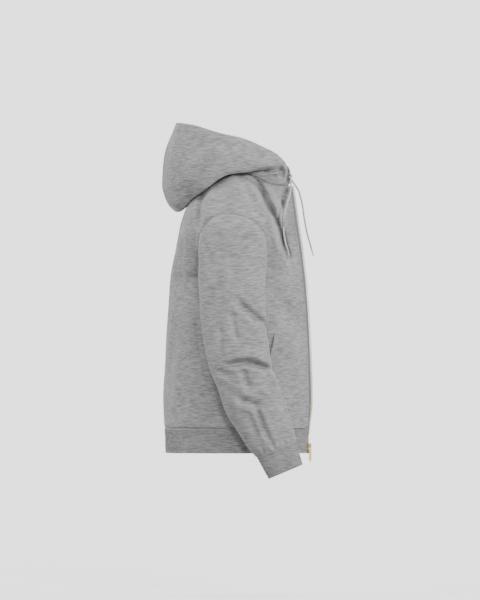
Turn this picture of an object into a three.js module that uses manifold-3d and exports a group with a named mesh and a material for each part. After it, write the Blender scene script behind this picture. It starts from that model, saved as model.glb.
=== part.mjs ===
// A zip-up hooded sweatshirt in heavy fleece, filled out as if worn: open zip, hood down on the back,
// arms hanging a little forward. Every piece that a maker cuts and sews on is a wall of its own.
// Sizes are millimetres. X points to the wearer's left, Y to the back, Z up, and the origin lies in the
// middle of the neck, where the shoulders carry the garment. Tables give the left half, and the right
// half mirrors it.
import * as THREE from "three";
import { mergeVertices } from "three/addons/utils/BufferGeometryUtils.js";
import Module from "manifold-3d";

const wasm = await Module();
wasm.setup();

// Walls and seams
const fleeceWall = 2;
const hoodWall = 2.6;
const ribWall = 3;
const seamGap = 0.3;

// Ribs of the knitted bands: a crest between two valleys, raised in the outer points over a plain inside.
// They start a little way below the seam.
const rib = { pitch: 4.2, height: 0.9, start: 0.12 };

// How many steps each stretch of cloth is drawn in
const steps = { hemToUnderarm: 12, armhole: 8, frontNeck: 7, frontShoulder: 7, backNeck: 4, backShoulder: 7 };
const sleeveSteps = 22;
const cuffSteps = 2;
const hemSteps = 2;
const hoodSteps = 13;

// Half the body from the hem seam to the top, one row for each level. The front bends from its edge round
// the chest corner to the front seam, and the back from the spine round the blade corner to the back seam.
// Below the underarm both seams are the side seam, and above it they are the armhole. The flare is how far
// the free front edge stands forward of the chest.
const levels = [
  { at: 0, edge: [86, -172, -643], flare: 8, chest: [191, -130, -643], frontSeam: [203, -8, -643],
    backSeam: [203, -8, -643], blade: [196, 161, -643], spine: [0, 165, -643] },
  { at: 0.13, edge: [84, -173.5, -560], flare: 8, chest: [193, -130, -560], frontSeam: [204, -8, -560],
    backSeam: [204, -8, -560], blade: [198, 164, -560], spine: [0, 166, -560] },
  { at: 0.3, edge: [80, -170.5, -450], flare: 8, chest: [192, -128, -450], frontSeam: [203, -8, -450],
    backSeam: [203, -8, -450], blade: [196, 161, -450], spine: [0, 161.5, -450] },
  { at: 0.44, edge: [75, -166, -360], flare: 8, chest: [189, -126, -360], frontSeam: [199, -8, -360],
    backSeam: [199, -8, -360], blade: [192, 158, -360], spine: [0, 155.5, -360] },
  { at: 0.55, edge: [69, -159.5, -290], flare: 9, chest: [184, -124, -290], frontSeam: [193, -8, -290],
    backSeam: [193, -8, -290], blade: [184, 152, -290], spine: [0, 148.5, -290] },
  { at: 0.6, edge: [66.5, -152, -262], flare: 13, chest: [182, -123, -266], frontSeam: [194, -37, -281],
    backSeam: [194, 30, -281], blade: [180, 150, -266], spine: [0, 145, -262] },
  { at: 0.68, edge: [62, -137, -215], flare: 22, chest: [172, -122, -222], frontSeam: [200, -66, -248],
    backSeam: [200, 62, -248], blade: [170, 147, -224], spine: [0, 137, -215] },
  { at: 0.78, edge: [55, -121, -160], flare: 29, chest: [152, -113, -155], frontSeam: [218, -80, -190],
    backSeam: [218, 82, -190], blade: [150, 137, -162], spine: [0, 125, -160] },
  { at: 0.89, edge: [47, -122, -108], flare: 21, chest: [130, -108, -84], frontSeam: [238, -50, -145],
    backSeam: [238, 52, -139], blade: [132, 108, -92], spine: [0, 106, -102] },
];
const cornerPull = 0.95;

// The neck seam, from the front edge round to the spine, and the shoulder seam, from the neck to the armhole
const neckSeam = [
  [40, -136, -60],
  [60, -121, -62],
  [78, -92, -58],
  [88, -50, -40],
  [86, 0, -22],
  [66, 44, -14],
  [35, 62, -17],
  [0, 68, -20],
];
const shoulderOnNeck = 4;
const shoulderSeam = [
  [86, 0, -22],
  [120, 0, -35],
  [155, 0, -51],
  [195, 0, -77],
  [226, 0, -104],
  [246, 0, -127],
];

// The free front edges flare forward over this share of the front panel
const flareShare = 0.17;

// The sleeve below the armhole, one row for each ring: its middle, its half widths across and from back
// to front, and the turn of its plane, in degrees, out over the shoulder and forward with the forearm
const sleeveRings = [
  { middle: [236, 1, -232], across: 80, deep: 81, outTurn: 65, foreTurn: 0 },
  { middle: [248, 1, -275], across: 64, deep: 80, outTurn: 50, foreTurn: 0 },
  { middle: [257, 2, -325], across: 54, deep: 79, outTurn: 30, foreTurn: 0 },
  { middle: [262, -1, -380], across: 50, deep: 77.5, outTurn: 10, foreTurn: 2 },
  { middle: [265, -6, -432], across: 49, deep: 76, outTurn: 0, foreTurn: 6 },
  { middle: [266, -16, -480], across: 48, deep: 74.5, outTurn: 0, foreTurn: 13 },
  { middle: [266, -29, -524], across: 47, deep: 70, outTurn: 0, foreTurn: 20 },
  { middle: [265.5, -43.5, -563], across: 45, deep: 70.5, outTurn: 0, foreTurn: 23 },
  { middle: [265, -59, -601], across: 41, deep: 69, outTurn: 0, foreTurn: 23.5 },
  { middle: [263, -84, -652], across: 35, deep: 61, outTurn: 0, foreTurn: 23.5 },
  { middle: [261, -103.5, -692.5], across: 29, deep: 52, outTurn: 0, foreTurn: 22.6 },
];
const cuffRings = [
  { middle: [260.5, -106, -698], across: 26, deep: 49.5, outTurn: 0, foreTurn: 22.6 },
  { middle: [259, -126, -746], across: 22.5, deep: 44, outTurn: 0, foreTurn: 23 },
];

// Half the hood, one row for each section from the front edge to the middle of the back. Each runs from
// the neck seam by the crease over the collar to the fold that it hangs on, and up by the belly and the
// brow to the rim.
const hoodSections = [
  { at: 0, roll: [41, -138, -47], fold: [42, -137, -35], belly: [44, -133.5, -20],
    brow: [47, -126, -7], rim: [53, -115, 6] },
  { at: 0.13, roll: [62, -119, -42], fold: [67, -116, -24], belly: [70, -112, -6],
    brow: [69, -108, 6], rim: [65, -102, 17] },
  { at: 0.27, roll: [81, -90, -37], fold: [92, -90, -27], belly: [98, -86, -6],
    brow: [96, -82, 12], rim: [87, -76, 31] },
  { at: 0.45, roll: [93, -47, -17], fold: [114, -47, -31], belly: [125, -41, -8],
    brow: [122, -34, 20], rim: [108, -24, 53] },
  { at: 0.62, roll: [84, 22, -2], fold: [136, 20, -40], belly: [148, 28, -14],
    brow: [142, 34, 27], rim: [120, 40, 67] },
  { at: 0.8, roll: [56, 64, -3], fold: [116, 84, -84], belly: [132, 101, -42],
    brow: [120, 104, 20], rim: [88, 90, 82] },
  { at: 0.91, roll: [28, 78, -6], fold: [70, 118, -113], belly: [84, 148, -56],
    brow: [72, 143, 20], rim: [47, 120, 87] },
  { at: 1, roll: [0, 82, -7], fold: [0, 131, -120], belly: [0, 171, -58],
    brow: [0, 163, 18], rim: [0, 134, 88] },
];
const hoodColumns = ["roll", "fold", "belly", "brow", "rim"];
const hoodPlaces = [0, 2 / 13, 6 / 13, 8 / 13, 10.5 / 13, 1];

// The largest folds, one row for each. A fold seen from the side is a line of Y and Z, and one seen from
// the front or back is a line of X and Z. It sinks to its depth over its half width.
const folds = [
  { on: "sleeve", facing: "side", depth: 8, halfWidth: 15,
    line: [[12, -487], [-10, -480], [-40, -480], [-66, -492], [-88, -498]] },
  { on: "sleeve", facing: "side", depth: 4, halfWidth: 15, line: [[-11, -340], [-40, -372], [-75, -393]] },
  { on: "sleeve", facing: "side", depth: 4, halfWidth: 14, line: [[-75, -625], [-100, -682]] },
  { on: "body", facing: "side", depth: 7, halfWidth: 14,
    line: [[-60, -48], [-72, -80], [-100, -145], [-128, -215]] },
  { on: "body", facing: "back", depth: 9, halfWidth: 20, line: [[168, -85], [180, -160], [184, -240]] },
];

const v3 = (p) => new THREE.Vector3(p[0], p[1], p[2]);
const radians = THREE.MathUtils.degToRad;

// A smooth line through points that stand at rising places, read at one place
function lineThrough(points, places, at) {
  let i = 0;
  while (i < places.length - 2 && at > places[i + 1]) i++;
  const slope = (k) => {
    const before = Math.max(k - 1, 0);
    const after = Math.min(k + 1, points.length - 1);
    return points[after].clone().sub(points[before]).divideScalar(places[after] - places[before]);
  };
  const span = places[i + 1] - places[i];
  const t = (at - places[i]) / span;
  const t2 = t * t;
  const t3 = t2 * t;
  return points[i]
    .clone()
    .multiplyScalar(2 * t3 - 3 * t2 + 1)
    .addScaledVector(slope(i), (t3 - 2 * t2 + t) * span)
    .addScaledVector(points[i + 1], 3 * t2 - 2 * t3)
    .addScaledVector(slope(i + 1), (t3 - t2) * span);
}

// The places of points along their own line, from 0 to 1
function spread(points) {
  const places = [0];
  for (let i = 1; i < points.length; i++) places.push(places[i - 1] + points[i].distanceTo(points[i - 1]));
  return places.map((p) => p / places[places.length - 1]);
}

const neckPoints = neckSeam.map(v3);
const neckPlaces = spread(neckPoints);
const shoulderPoints = shoulderSeam.map(v3);
const shoulderPlaces = spread(shoulderPoints);
const neckAtShoulder = neckPlaces[shoulderOnNeck];
const neckAt = (share) => lineThrough(neckPoints, neckPlaces, share);

// A bend from one end round a corner to the other end
function bend(from, corner, to, t) {
  const a = (1 - t) * (1 - t);
  const b = 2 * cornerPull * t * (1 - t);
  const c = t * t;
  return v3(from)
    .multiplyScalar(a)
    .addScaledVector(v3(corner), b)
    .addScaledVector(v3(to), c)
    .divideScalar(a + b + c);
}

// Steps from 0 to 1 in two stretches that meet at a given place
function twoStretches(first, second, meeting) {
  const found = [];
  for (let i = 0; i <= first; i++) found.push((meeting * i) / first);
  for (let i = 1; i <= second; i++) found.push(meeting + ((1 - meeting) * i) / second);
  return found;
}

const frontNeckShare = 0.42;
const backNeckShare = 0.34;
const underarmAt = levels[4].at;
const rowPlaces = twoStretches(steps.hemToUnderarm, steps.armhole, underarmAt);
const levelPlaces = [...levels.map((l) => l.at), 1];

// The top of half a panel: its stretch of the neck seam, and then the shoulder seam
function topOfPanel(isFront, u) {
  const neckShare = isFront ? frontNeckShare : backNeckShare;
  if (u > neckShare) return lineThrough(shoulderPoints, shoulderPlaces, (u - neckShare) / (1 - neckShare));
  const along = u / neckShare;
  return neckAt(isFront ? along * neckAtShoulder : 1 - along * (1 - neckAtShoulder));
}

// One point of half the front or back
function bodyPoint(isFront, u, v) {
  const line = levels.map((l) => {
    if (!isFront) return bend(l.spine, l.blade, l.backSeam, u);
    const p = bend(l.edge, l.chest, l.frontSeam, u);
    p.y -= l.flare * Math.max(0, 1 - u / flareShare) ** 1.6;
    return p;
  });
  line.push(topOfPanel(isFront, u));
  return lineThrough(line, levelPlaces, v);
}

function grid(columns, rows, pointAt) {
  return columns.map((c) => rows.map((r) => pointAt(c, r)));
}

const frontColumns = twoStretches(steps.frontNeck, steps.frontShoulder, frontNeckShare);
const backColumns = twoStretches(steps.backNeck, steps.backShoulder, backNeckShare);
const frontGrid = grid(frontColumns, rowPlaces, (u, v) => bodyPoint(true, u, v));
const backGrid = grid(backColumns, rowPlaces, (u, v) => bodyPoint(false, u, v));
for (let k = 0; k <= steps.hemToUnderarm; k++) {
  const [front, back] = [frontGrid.at(-1), backGrid.at(-1)];
  front[k] = front[k].clone().lerp(back[k], 0.5);
  back[k] = front[k].clone();
}

// The sleeve: its first ring is the armhole, from the shoulder down the front and up the back
const armholeRows = rowPlaces.map((v, k) => k).filter((k) => rowPlaces[k] >= underarmAt - 1e-9);
const frontArmhole = armholeRows.map((k) => frontGrid[frontColumns.length - 1][k]).reverse();
const backArmhole = armholeRows.map((k) => backGrid[backColumns.length - 1][k]);
const armhole = [...frontArmhole, ...backArmhole.slice(1, -1)];
const ringSteps = armhole.length;

function ringPoint(ring, turn) {
  const out = radians(ring.outTurn);
  const fore = radians(ring.foreTurn);
  const outward = new THREE.Vector3(Math.cos(out), 0, Math.sin(out));
  const forward = new THREE.Vector3(0, -Math.cos(fore), Math.sin(fore));
  return v3(ring.middle)
    .addScaledVector(outward, ring.across * Math.cos(turn))
    .addScaledVector(forward, ring.deep * Math.sin(turn));
}

function evenSteps(count) {
  return Array.from({ length: count + 1 }, (_, i) => i / count);
}

function ringMiddle(points) {
  return points.reduce((sum, p) => sum.add(p), new THREE.Vector3()).divideScalar(points.length);
}

const sleevePlaces = spread([ringMiddle(armhole), ...sleeveRings.map((r) => v3(r.middle))]);
const sleeveGrid = armhole.map((start, j) => {
  const line = [start, ...sleeveRings.map((r) => ringPoint(r, (2 * Math.PI * j) / ringSteps))];
  return evenSteps(sleeveSteps).map((s) => lineThrough(line, sleevePlaces, s));
});
const cuffPlaces = [0, 0.1, 1];
const cuffGrid = sleeveGrid.map((column, j) => {
  const line = [
    column[sleeveSteps].clone(),
    ...cuffRings.map((r) => ringPoint(r, (2 * Math.PI * j) / ringSteps)),
  ];
  return evenSteps(cuffSteps).map((s) => lineThrough(line, cuffPlaces, s));
});

// Half the hood hangs on the neck seam, column for column with the panels below it
const hoodNeckPlaces = [
  ...frontColumns.filter((u) => u <= frontNeckShare + 1e-9).map((u) => (u / frontNeckShare) * neckAtShoulder),
  ...backColumns
    .filter((u) => u < backNeckShare - 1e-9)
    .map((u) => 1 - (u / backNeckShare) * (1 - neckAtShoulder))
    .reverse(),
];
const hoodAts = hoodSections.map((s) => s.at);
const hoodLines = hoodColumns.map((name) => hoodSections.map((s) => v3(s[name])));
const hoodGrid = hoodNeckPlaces.map((place) => {
  const line = [neckAt(place), ...hoodLines.map((points) => lineThrough(points, hoodAts, place))];
  return evenSteps(hoodSteps).map((s) => lineThrough(line, hoodPlaces, s));
});

// The waistband takes the panels' lowest points and draws in below the seam
const hemDrop = 60;
const hemDrawIn = 2.5;
const halfHem = [
  ...frontGrid.map((column) => column[0]),
  ...backGrid.map((column) => column[0]).reverse().slice(1),
];
const hemGrid = halfHem.map((top) =>
  evenSteps(hemSteps).map((s) => {
    const drawIn = hemDrawIn * Math.min(1, s * hemSteps);
    const flat = new THREE.Vector3(top.x, top.y, 0).setLength(drawIn);
    return new THREE.Vector3(top.x - flat.x, top.y - flat.y, top.z - hemDrop * s);
  }),
);

const keyOf = (p) => [p.x, p.y, p.z].map((n) => Math.round(n * 1000)).join();

// The outward direction at every point of the given pieces, averaged over the faces that meet there
function outwardDirections(pieces) {
  const sums = new Map();
  const add = (p, n) => {
    const key = keyOf(p);
    if (!sums.has(key)) sums.set(key, new THREE.Vector3());
    sums.get(key).add(n);
  };
  for (const { points, round, flip } of pieces) {
    const count = round ? points.length : points.length - 1;
    for (let i = 0; i < count; i++)
      for (let k = 0; k + 1 < points[i].length; k++) {
        const next = points[(i + 1) % points.length];
        const across = next[k + 1].clone().sub(points[i][k]);
        const up = points[i][k + 1].clone().sub(next[k]);
        const n = across.cross(up).normalize().multiplyScalar(flip ? -1 : 1);
        for (const p of [points[i][k], next[k], next[k + 1], points[i][k + 1]]) add(p, n);
      }
  }
  return (p) => {
    const n = sums.get(keyOf(p)).clone();
    if (Math.abs(p.x) < 1e-6) n.setX(0);
    return n.normalize();
  };
}

// How far a point sinks into the folds of its cloth
function foldDepth(on, p, n) {
  let depth = 0;
  for (const fold of folds.filter((f) => f.on === on)) {
    const side = fold.facing === "side";
    const place = new THREE.Vector2(side ? p.y : p.x, p.z);
    const facing = side ? n.x : n.y;
    if (facing <= 0) continue;
    let nearest = Infinity;
    for (let i = 0; i + 1 < fold.line.length; i++) {
      const a = new THREE.Vector2(...fold.line[i]);
      const b = new THREE.Vector2(...fold.line[i + 1]);
      const along = b.clone().sub(a);
      const t = THREE.MathUtils.clamp(place.clone().sub(a).dot(along) / along.lengthSq(), 0, 1);
      nearest = Math.min(nearest, a.addScaledVector(along, t).distanceTo(place));
    }
    const share = Math.exp(-((nearest / fold.halfWidth) ** 2));
    depth += fold.depth * share * THREE.MathUtils.smoothstep(facing, 0.1, 0.6);
  }
  return depth;
}

const cloth = {
  front: { points: frontGrid, on: "body", wall: fleeceWall, flip: false },
  back: { points: backGrid, on: "body", wall: fleeceWall, flip: true },
  sleeve: { points: sleeveGrid, on: "sleeve", wall: fleeceWall, round: true, flip: false },
  cuff: { points: cuffGrid, on: "cuff", wall: ribWall, round: true, flip: false, ribbed: true },
  hood: { points: hoodGrid, on: "hood", wall: hoodWall, flip: false },
  hem: { points: hemGrid, on: "hem", wall: ribWall, flip: true, ribbed: true },
};

// Folds move the shared points first, so that seams stay together
const flatDirections = outwardDirections(Object.values(cloth));
const sunk = new Map();
for (const piece of Object.values(cloth))
  for (const p of piece.points.flat()) {
    const depth = foldDepth(piece.on, p, flatDirections(p));
    if (depth > (sunk.get(keyOf(p)) ?? 0)) sunk.set(keyOf(p), depth);
  }
for (const piece of Object.values(cloth))
  piece.points = piece.points.map((column) =>
    column.map((p) => p.clone().addScaledVector(flatDirections(p), -(sunk.get(keyOf(p)) ?? 0))),
  );
const directions = outwardDirections(Object.values(cloth));

// The outer and inner skins of a piece, drawn back from its seams by half the gap. Where two pieces meet
// in a ridge the wall leans with the seam, and in a crotch it keeps its own direction and draws back more.
function skins(piece) {
  const { points, wall, round } = piece;
  const own = outwardDirections([piece]);
  const last = points.length - 1;
  const outer = points.map(() => []);
  const inner = points.map(() => []);
  points.forEach((column, i) =>
    column.forEach((p, k) => {
      const inland = [];
      if (!round && i === 0) inland.push(points[1][k]);
      if (!round && i === last) inland.push(points[last - 1][k]);
      if (k === 0) inland.push(column[1]);
      if (k === column.length - 1) inland.push(column[k - 1]);
      const tangents = inland.map((q) => q.clone().sub(p).normalize());
      const shared = directions(p);
      const lean = Math.max(0, ...tangents.map((t) => shared.dot(t)));
      const crotch = Math.min(1, lean / 0.25);
      const moved = p.clone();
      for (const t of tangents) moved.addScaledVector(t, (seamGap / 2) * (1 + 3 * crotch));
      const direction = shared.multiplyScalar(1 - crotch).addScaledVector(own(p), crotch).normalize();
      outer[i].push(moved);
      inner[i].push(moved.clone().addScaledVector(direction, -wall));
    }),
  );
  return { outer, inner };
}

const coordinates = (skin) => skin.flat().flatMap((p) => [p.x, p.y, p.z]);

function geometryOf(position, index) {
  const geometry = new THREE.BufferGeometry();
  geometry.setAttribute("position", new THREE.Float32BufferAttribute(position, 3));
  geometry.setIndex(index);
  return geometry;
}

// A closed wall between two skins
function wallGeometry(outer, inner, round = false) {
  const columns = outer.length;
  const rows = outer[0].length;
  const at = (layer, i, k) => layer * columns * rows + (i % columns) * rows + k;
  const index = [];
  const quad = (a, b, c, d) => index.push(a, b, c, a, c, d);
  const count = round ? columns : columns - 1;
  for (let i = 0; i < count; i++)
    for (let k = 0; k + 1 < rows; k++) {
      quad(at(0, i, k), at(0, i + 1, k), at(0, i + 1, k + 1), at(0, i, k + 1));
      quad(at(1, i, k + 1), at(1, i + 1, k + 1), at(1, i + 1, k), at(1, i, k));
    }
  for (let i = 0; i < count; i++) {
    quad(at(1, i, 0), at(1, i + 1, 0), at(0, i + 1, 0), at(0, i, 0));
    quad(at(0, i, rows - 1), at(0, i + 1, rows - 1), at(1, i + 1, rows - 1), at(1, i, rows - 1));
  }
  if (!round)
    for (let k = 0; k + 1 < rows; k++) {
      quad(at(0, 0, k), at(0, 0, k + 1), at(1, 0, k + 1), at(1, 0, k));
      const end = columns - 1;
      quad(at(1, end, k), at(1, end, k + 1), at(0, end, k + 1), at(0, end, k));
    }
  return facingOut(geometryOf([...coordinates(outer), ...coordinates(inner)], index));
}

// The point of a skin at a share of the way from one column to the next, and of the way down them
function skinPoint(skin, i, across, down) {
  const downColumn = (column) => {
    const place = down * (column.length - 1);
    const k = Math.min(column.length - 2, Math.floor(place));
    return column[k].clone().lerp(column[k + 1], place - k);
  };
  return downColumn(skin[i]).lerp(downColumn(skin[(i + 1) % skin.length]), across);
}

// A closed wall with ribs: each stretch between two columns of the inner skin gets whole ribs outside
function ribbedWall(outer, inner, round = false) {
  const stretches = round ? outer.length : outer.length - 1;
  const downs = [0, rib.start, 1];
  const ribbed = [];
  const firstOf = [];
  const addColumn = (i, across, raised) =>
    ribbed.push(
      downs.map((down) => {
        const p = skinPoint(outer, i, across, down);
        const outward = p.clone().sub(skinPoint(inner, i, across, down)).normalize();
        return p.addScaledVector(outward, down > 0 ? raised : 0);
      }),
    );
  for (let i = 0; i < stretches; i++) {
    firstOf.push(ribbed.length);
    const width = outer[i][0].distanceTo(outer[(i + 1) % outer.length][0]);
    const halves = 2 * Math.max(1, Math.round(width / rib.pitch));
    for (let j = 0; j < halves; j++) addColumn(i, j / halves, j % 2 ? rib.height : 0);
  }
  if (round) firstOf.push(ribbed.length);
  else {
    firstOf.push(ribbed.length);
    addColumn(stretches - 1, 1, 0);
  }
  const rows = downs.length;
  const innerStart = ribbed.length * rows;
  const out = (f, k) => (f % ribbed.length) * rows + k;
  const into = (i, k) => innerStart + (i % inner.length) * inner[0].length + k;
  const index = [];
  const quad = (a, b, c, d) => index.push(a, b, c, a, c, d);
  for (let f = 0; f < firstOf[stretches]; f++)
    for (let k = 0; k + 1 < rows; k++) quad(out(f, k), out(f + 1, k), out(f + 1, k + 1), out(f, k + 1));
  const innerEnd = inner[0].length - 1;
  for (let i = 0; i < stretches; i++) {
    for (let k = 0; k < innerEnd; k++) quad(into(i, k + 1), into(i + 1, k + 1), into(i + 1, k), into(i, k));
    const middle = (firstOf[i] + firstOf[i + 1]) / 2;
    index.push(into(i, 0), into(i + 1, 0), out(middle, 0));
    index.push(into(i + 1, innerEnd), into(i, innerEnd), out(middle, rows - 1));
    for (let f = firstOf[i]; f < firstOf[i + 1]; f++) {
      const nearest = f < middle ? i : i + 1;
      index.push(out(f + 1, 0), out(f, 0), into(nearest, 0));
      index.push(out(f, rows - 1), out(f + 1, rows - 1), into(nearest, innerEnd));
    }
  }
  if (!round)
    for (let k = 0; k + 1 < rows; k++) {
      const last = ribbed.length - 1;
      quad(out(0, k), out(0, k + 1), into(0, k + 1), into(0, k));
      quad(into(stretches, k), into(stretches, k + 1), out(last, k + 1), out(last, k));
    }
  return facingOut(geometryOf([...coordinates(ribbed), ...coordinates(inner)], index));
}

// Turns a closed geometry's faces outward
function facingOut(geometry) {
  const at = geometry.getAttribute("position");
  const index = geometry.index.array;
  const [a, b, c] = [new THREE.Vector3(), new THREE.Vector3(), new THREE.Vector3()];
  let volume = 0;
  for (let i = 0; i < index.length; i += 3) {
    a.fromBufferAttribute(at, index[i]);
    b.fromBufferAttribute(at, index[i + 1]);
    c.fromBufferAttribute(at, index[i + 2]);
    volume += a.dot(b.cross(c));
  }
  if (volume < 0)
    for (let i = 0; i < index.length; i += 3) {
      const second = index[i + 1];
      index[i + 1] = index[i + 2];
      index[i + 2] = second;
    }
  geometry.computeVertexNormals();
  return geometry;
}

const mirrored = (skin) => skin.map((column) => column.map((p) => new THREE.Vector3(-p.x, p.y, p.z)));

// Colours of the cloth and the metal
const finish = (color, roughness, metalness) =>
  new THREE.MeshStandardMaterial({ color, roughness, metalness, side: THREE.DoubleSide });
const fleece = finish(0xa9a9a9, 0.95, 0);
const ribKnit = finish(0x9d9d9d, 0.95, 0);
const tapeCloth = finish(0x9a979a, 0.85, 0);
const cordCotton = finish(0xcfd0d0, 0.9, 0);
const brass = finish(0xb59a5b, 0.35, 1);

const hoodie = new THREE.Group();
function addPiece(name, geometry, material) {
  const mesh = new THREE.Mesh(geometry, material);
  mesh.name = name;
  hoodie.add(mesh);
  return mesh;
}

const sides = { left: 1, right: -1 };
function addCloth(name, piece, outer, inner) {
  if (piece.ribbed) addPiece(name, ribbedWall(outer, inner, piece.round), ribKnit);
  else addPiece(name, wallGeometry(outer, inner, piece.round), fleece);
}

function addPair(name, piece) {
  const { outer, inner } = skins(piece);
  addCloth(name + "_left", piece, outer, inner);
  addCloth(name + "_right", piece, mirrored(outer), mirrored(inner));
}

// A panel that runs whole across the middle of the back
function addWhole(name, piece) {
  const { outer, inner } = skins(piece);
  const whole = (half, spine) => {
    const centred = half.map((column, i) => (i === spine ? column.map((p) => p.clone().setX(0)) : column));
    const other = mirrored(centred).reverse();
    return spine === 0 ? [...other.slice(0, -1), ...centred] : [...centred, ...other.slice(1)];
  };
  const spine = piece.points[0][0].x < 1e-6 ? 0 : piece.points.length - 1;
  addCloth(name, piece, whole(outer, spine), whole(inner, spine));
}

addPair("front", cloth.front);
addWhole("back", cloth.back);
addPair("sleeve", cloth.sleeve);
addPair("cuff", cloth.cuff);
addPair("hood", cloth.hood);
addWhole("hem_band", cloth.hem);

// Kangaroo pockets: each front's own facets moved out, cut along the top and along the slanted mouth
const pocketTop = -413;
const pocketMouth = [
  [-113, pocketTop + 1],
  [-98, -468],
  [-57, -560],
  [-50, -660],
];
const pocketBulge = 3;
const pocketFirstColumn = 1;
const pocketTopShare = 0.45;
const pocketSideShare = 0.92;
const pocketRows = rowPlaces.filter((v) => v < pocketTopShare).length;
const pocketColumns = frontColumns.filter((u) => u < pocketSideShare).length;
const frontOutward = outwardDirections([cloth.front]);
function pocketSkin(lift) {
  return cloth.front.points.slice(pocketFirstColumn, pocketColumns).map((column, i) =>
    column.slice(0, pocketRows).map((p, k) => {
      const across = Math.min(1, (i / (pocketColumns - pocketFirstColumn)) * 1.3);
      const up = Math.min(1, k / (pocketRows - 2.2));
      const bulge = pocketBulge * Math.sin((across * Math.PI) / 2) * Math.max(0, Math.sin(up * Math.PI));
      const lifted = p.clone().addScaledVector(frontOutward(p), seamGap + lift + bulge);
      if (k === 0) lifted.z += seamGap / 2;
      return lifted;
    }),
  );
}

function toSolid(geometry) {
  const corners = new THREE.BufferGeometry();
  corners.setAttribute("position", geometry.toNonIndexed().getAttribute("position"));
  const whole = mergeVertices(corners, 1e-3);
  const mesh = new wasm.Mesh({
    numProp: 3,
    vertProperties: whole.getAttribute("position").array,
    triVerts: new Uint32Array(whole.index.array),
  });
  return new wasm.Manifold(mesh);
}

function toGeometry(solid) {
  const mesh = solid.getMesh();
  const position = [];
  for (let i = 0; i < mesh.numVert; i++) {
    const first = i * mesh.numProp;
    position.push(...mesh.vertProperties.slice(first, first + 3));
  }
  const geometry = geometryOf(position, Array.from(mesh.triVerts));
  geometry.computeVertexNormals();
  return geometry;
}

const pocketWhole = toSolid(wallGeometry(pocketSkin(fleeceWall), pocketSkin(0)));
const mouthOutline = [
  [-300, -700],
  [-300, pocketTop],
  [pocketMouth[0][0], pocketTop],
  ...pocketMouth.slice(1),
  [-50, -700],
];
// The outline of Y and Z is pushed out along X
const sideways = new THREE.Matrix4().makeBasis(
  new THREE.Vector3(0, 1, 0),
  new THREE.Vector3(0, 0, 1),
  new THREE.Vector3(1, 0, 0),
);
const pocketSide = new wasm.CrossSection([mouthOutline], "NonZero").extrude(400);
const pocketLeft = pocketWhole.intersect(pocketSide.transform(sideways.toArray()));
addPiece("pocket_left", toGeometry(pocketLeft), fleece);
addPiece("pocket_right", toGeometry(pocketLeft.mirror([1, 0, 0])), fleece);

// Zip tapes: woven strips sewn behind each front edge, from the neck seam to the bottom of the waistband
const tape = { underCloth: 5, beyondEdge: 8, thick: 1, clearance: 0.7 };
const edgeFrame = (piece, k, wall) => {
  const [edge, beside] = [piece.points[0][k], piece.points[1][k]];
  const across = edge.clone().sub(beside).normalize();
  const outward = directions(edge);
  outward.addScaledVector(across, -outward.dot(across)).normalize();
  return { edge: edge.clone(), across, outward, wall };
};
const zipLine = [
  ...[hemSteps, hemSteps - 1].map((k) => edgeFrame(cloth.hem, k, ribWall)),
  ...rowPlaces.map((v, k) => edgeFrame(cloth.front, k, k === 0 ? ribWall : fleeceWall)),
];
const tapePoint = (frame, across, inward) =>
  frame.edge
    .clone()
    .addScaledVector(frame.across, across)
    .addScaledVector(frame.outward, -(frame.wall + tape.clearance + inward));
const tapeEnds = (column) =>
  column.map((p, k) => {
    if (k === 0) return p.clone().lerp(column[1], 0.02);
    if (k === column.length - 1) return p.clone().lerp(column[k - 1], 0.08);
    return p;
  });
const tapeSkin = (inward) =>
  [tape.beyondEdge, -tape.underCloth].map((across) =>
    tapeEnds(zipLine.map((frame) => tapePoint(frame, across, inward))),
  );
const [tapeFace, tapeBack] = [tapeSkin(0), tapeSkin(tape.thick)];
addPiece("zip_tape_left", wallGeometry(tapeFace, tapeBack), tapeCloth);
addPiece("zip_tape_right", wallGeometry(mirrored(tapeFace), mirrored(tapeBack)), tapeCloth);

// Zip hardware, drawn in a frame of its own: X across the tape past the edge, Y inward, Z up along the edge
const slider = { from: 5.2, to: 16.2, tall: 11, half: 3.4, side: 1, channel: 1.7, slot: 0.85 };
const tapeMiddle = ribWall + tape.clearance + tape.thick / 2;
// A block between two heights, symmetric across the tape's thickness
const block = (x0, x1, halfThick, z0, z1) =>
  wasm.Manifold.cube([x1 - x0, 2 * halfThick, z1 - z0]).translate([x0, -halfThick, z0]);
const sliderPlates = block(slider.from, slider.to, slider.half, 0, slider.tall)
  .subtract(block(slider.from + slider.side, slider.to - slider.side, slider.channel, -1, slider.tall + 1))
  .subtract(block(slider.from - 1, slider.to + 1, slider.slot, -1, slider.tall + 1));
const sliderMiddle = (slider.from + slider.to) / 2;
const post = block(sliderMiddle - 0.6, sliderMiddle + 1.4, slider.channel + 0.1, 7.2, slider.tall);

// The bridge arches over the slider's face and leaves a loop for the tab's bar
const bridge = { wide: 2.2, rise: 4.2, inside: 3, low: 0.8, high: 9.8, leg: 1.6 };
const bridgeSolid = block(-bridge.wide / 2, bridge.wide / 2, (bridge.rise + 0.1) / 2, bridge.low, bridge.high)
  .translate([0, (0.1 - bridge.rise) / 2, 0])
  .subtract(
    block(-2, 2, bridge.inside / 2, bridge.low + bridge.leg, bridge.high - bridge.leg).translate([
      0, -bridge.inside / 2, 0,
    ]),
  )
  .translate([sliderMiddle, -slider.half, 0]);
const sliderSolid = wasm.Manifold.union([sliderPlates, post, bridgeSolid]);

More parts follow.
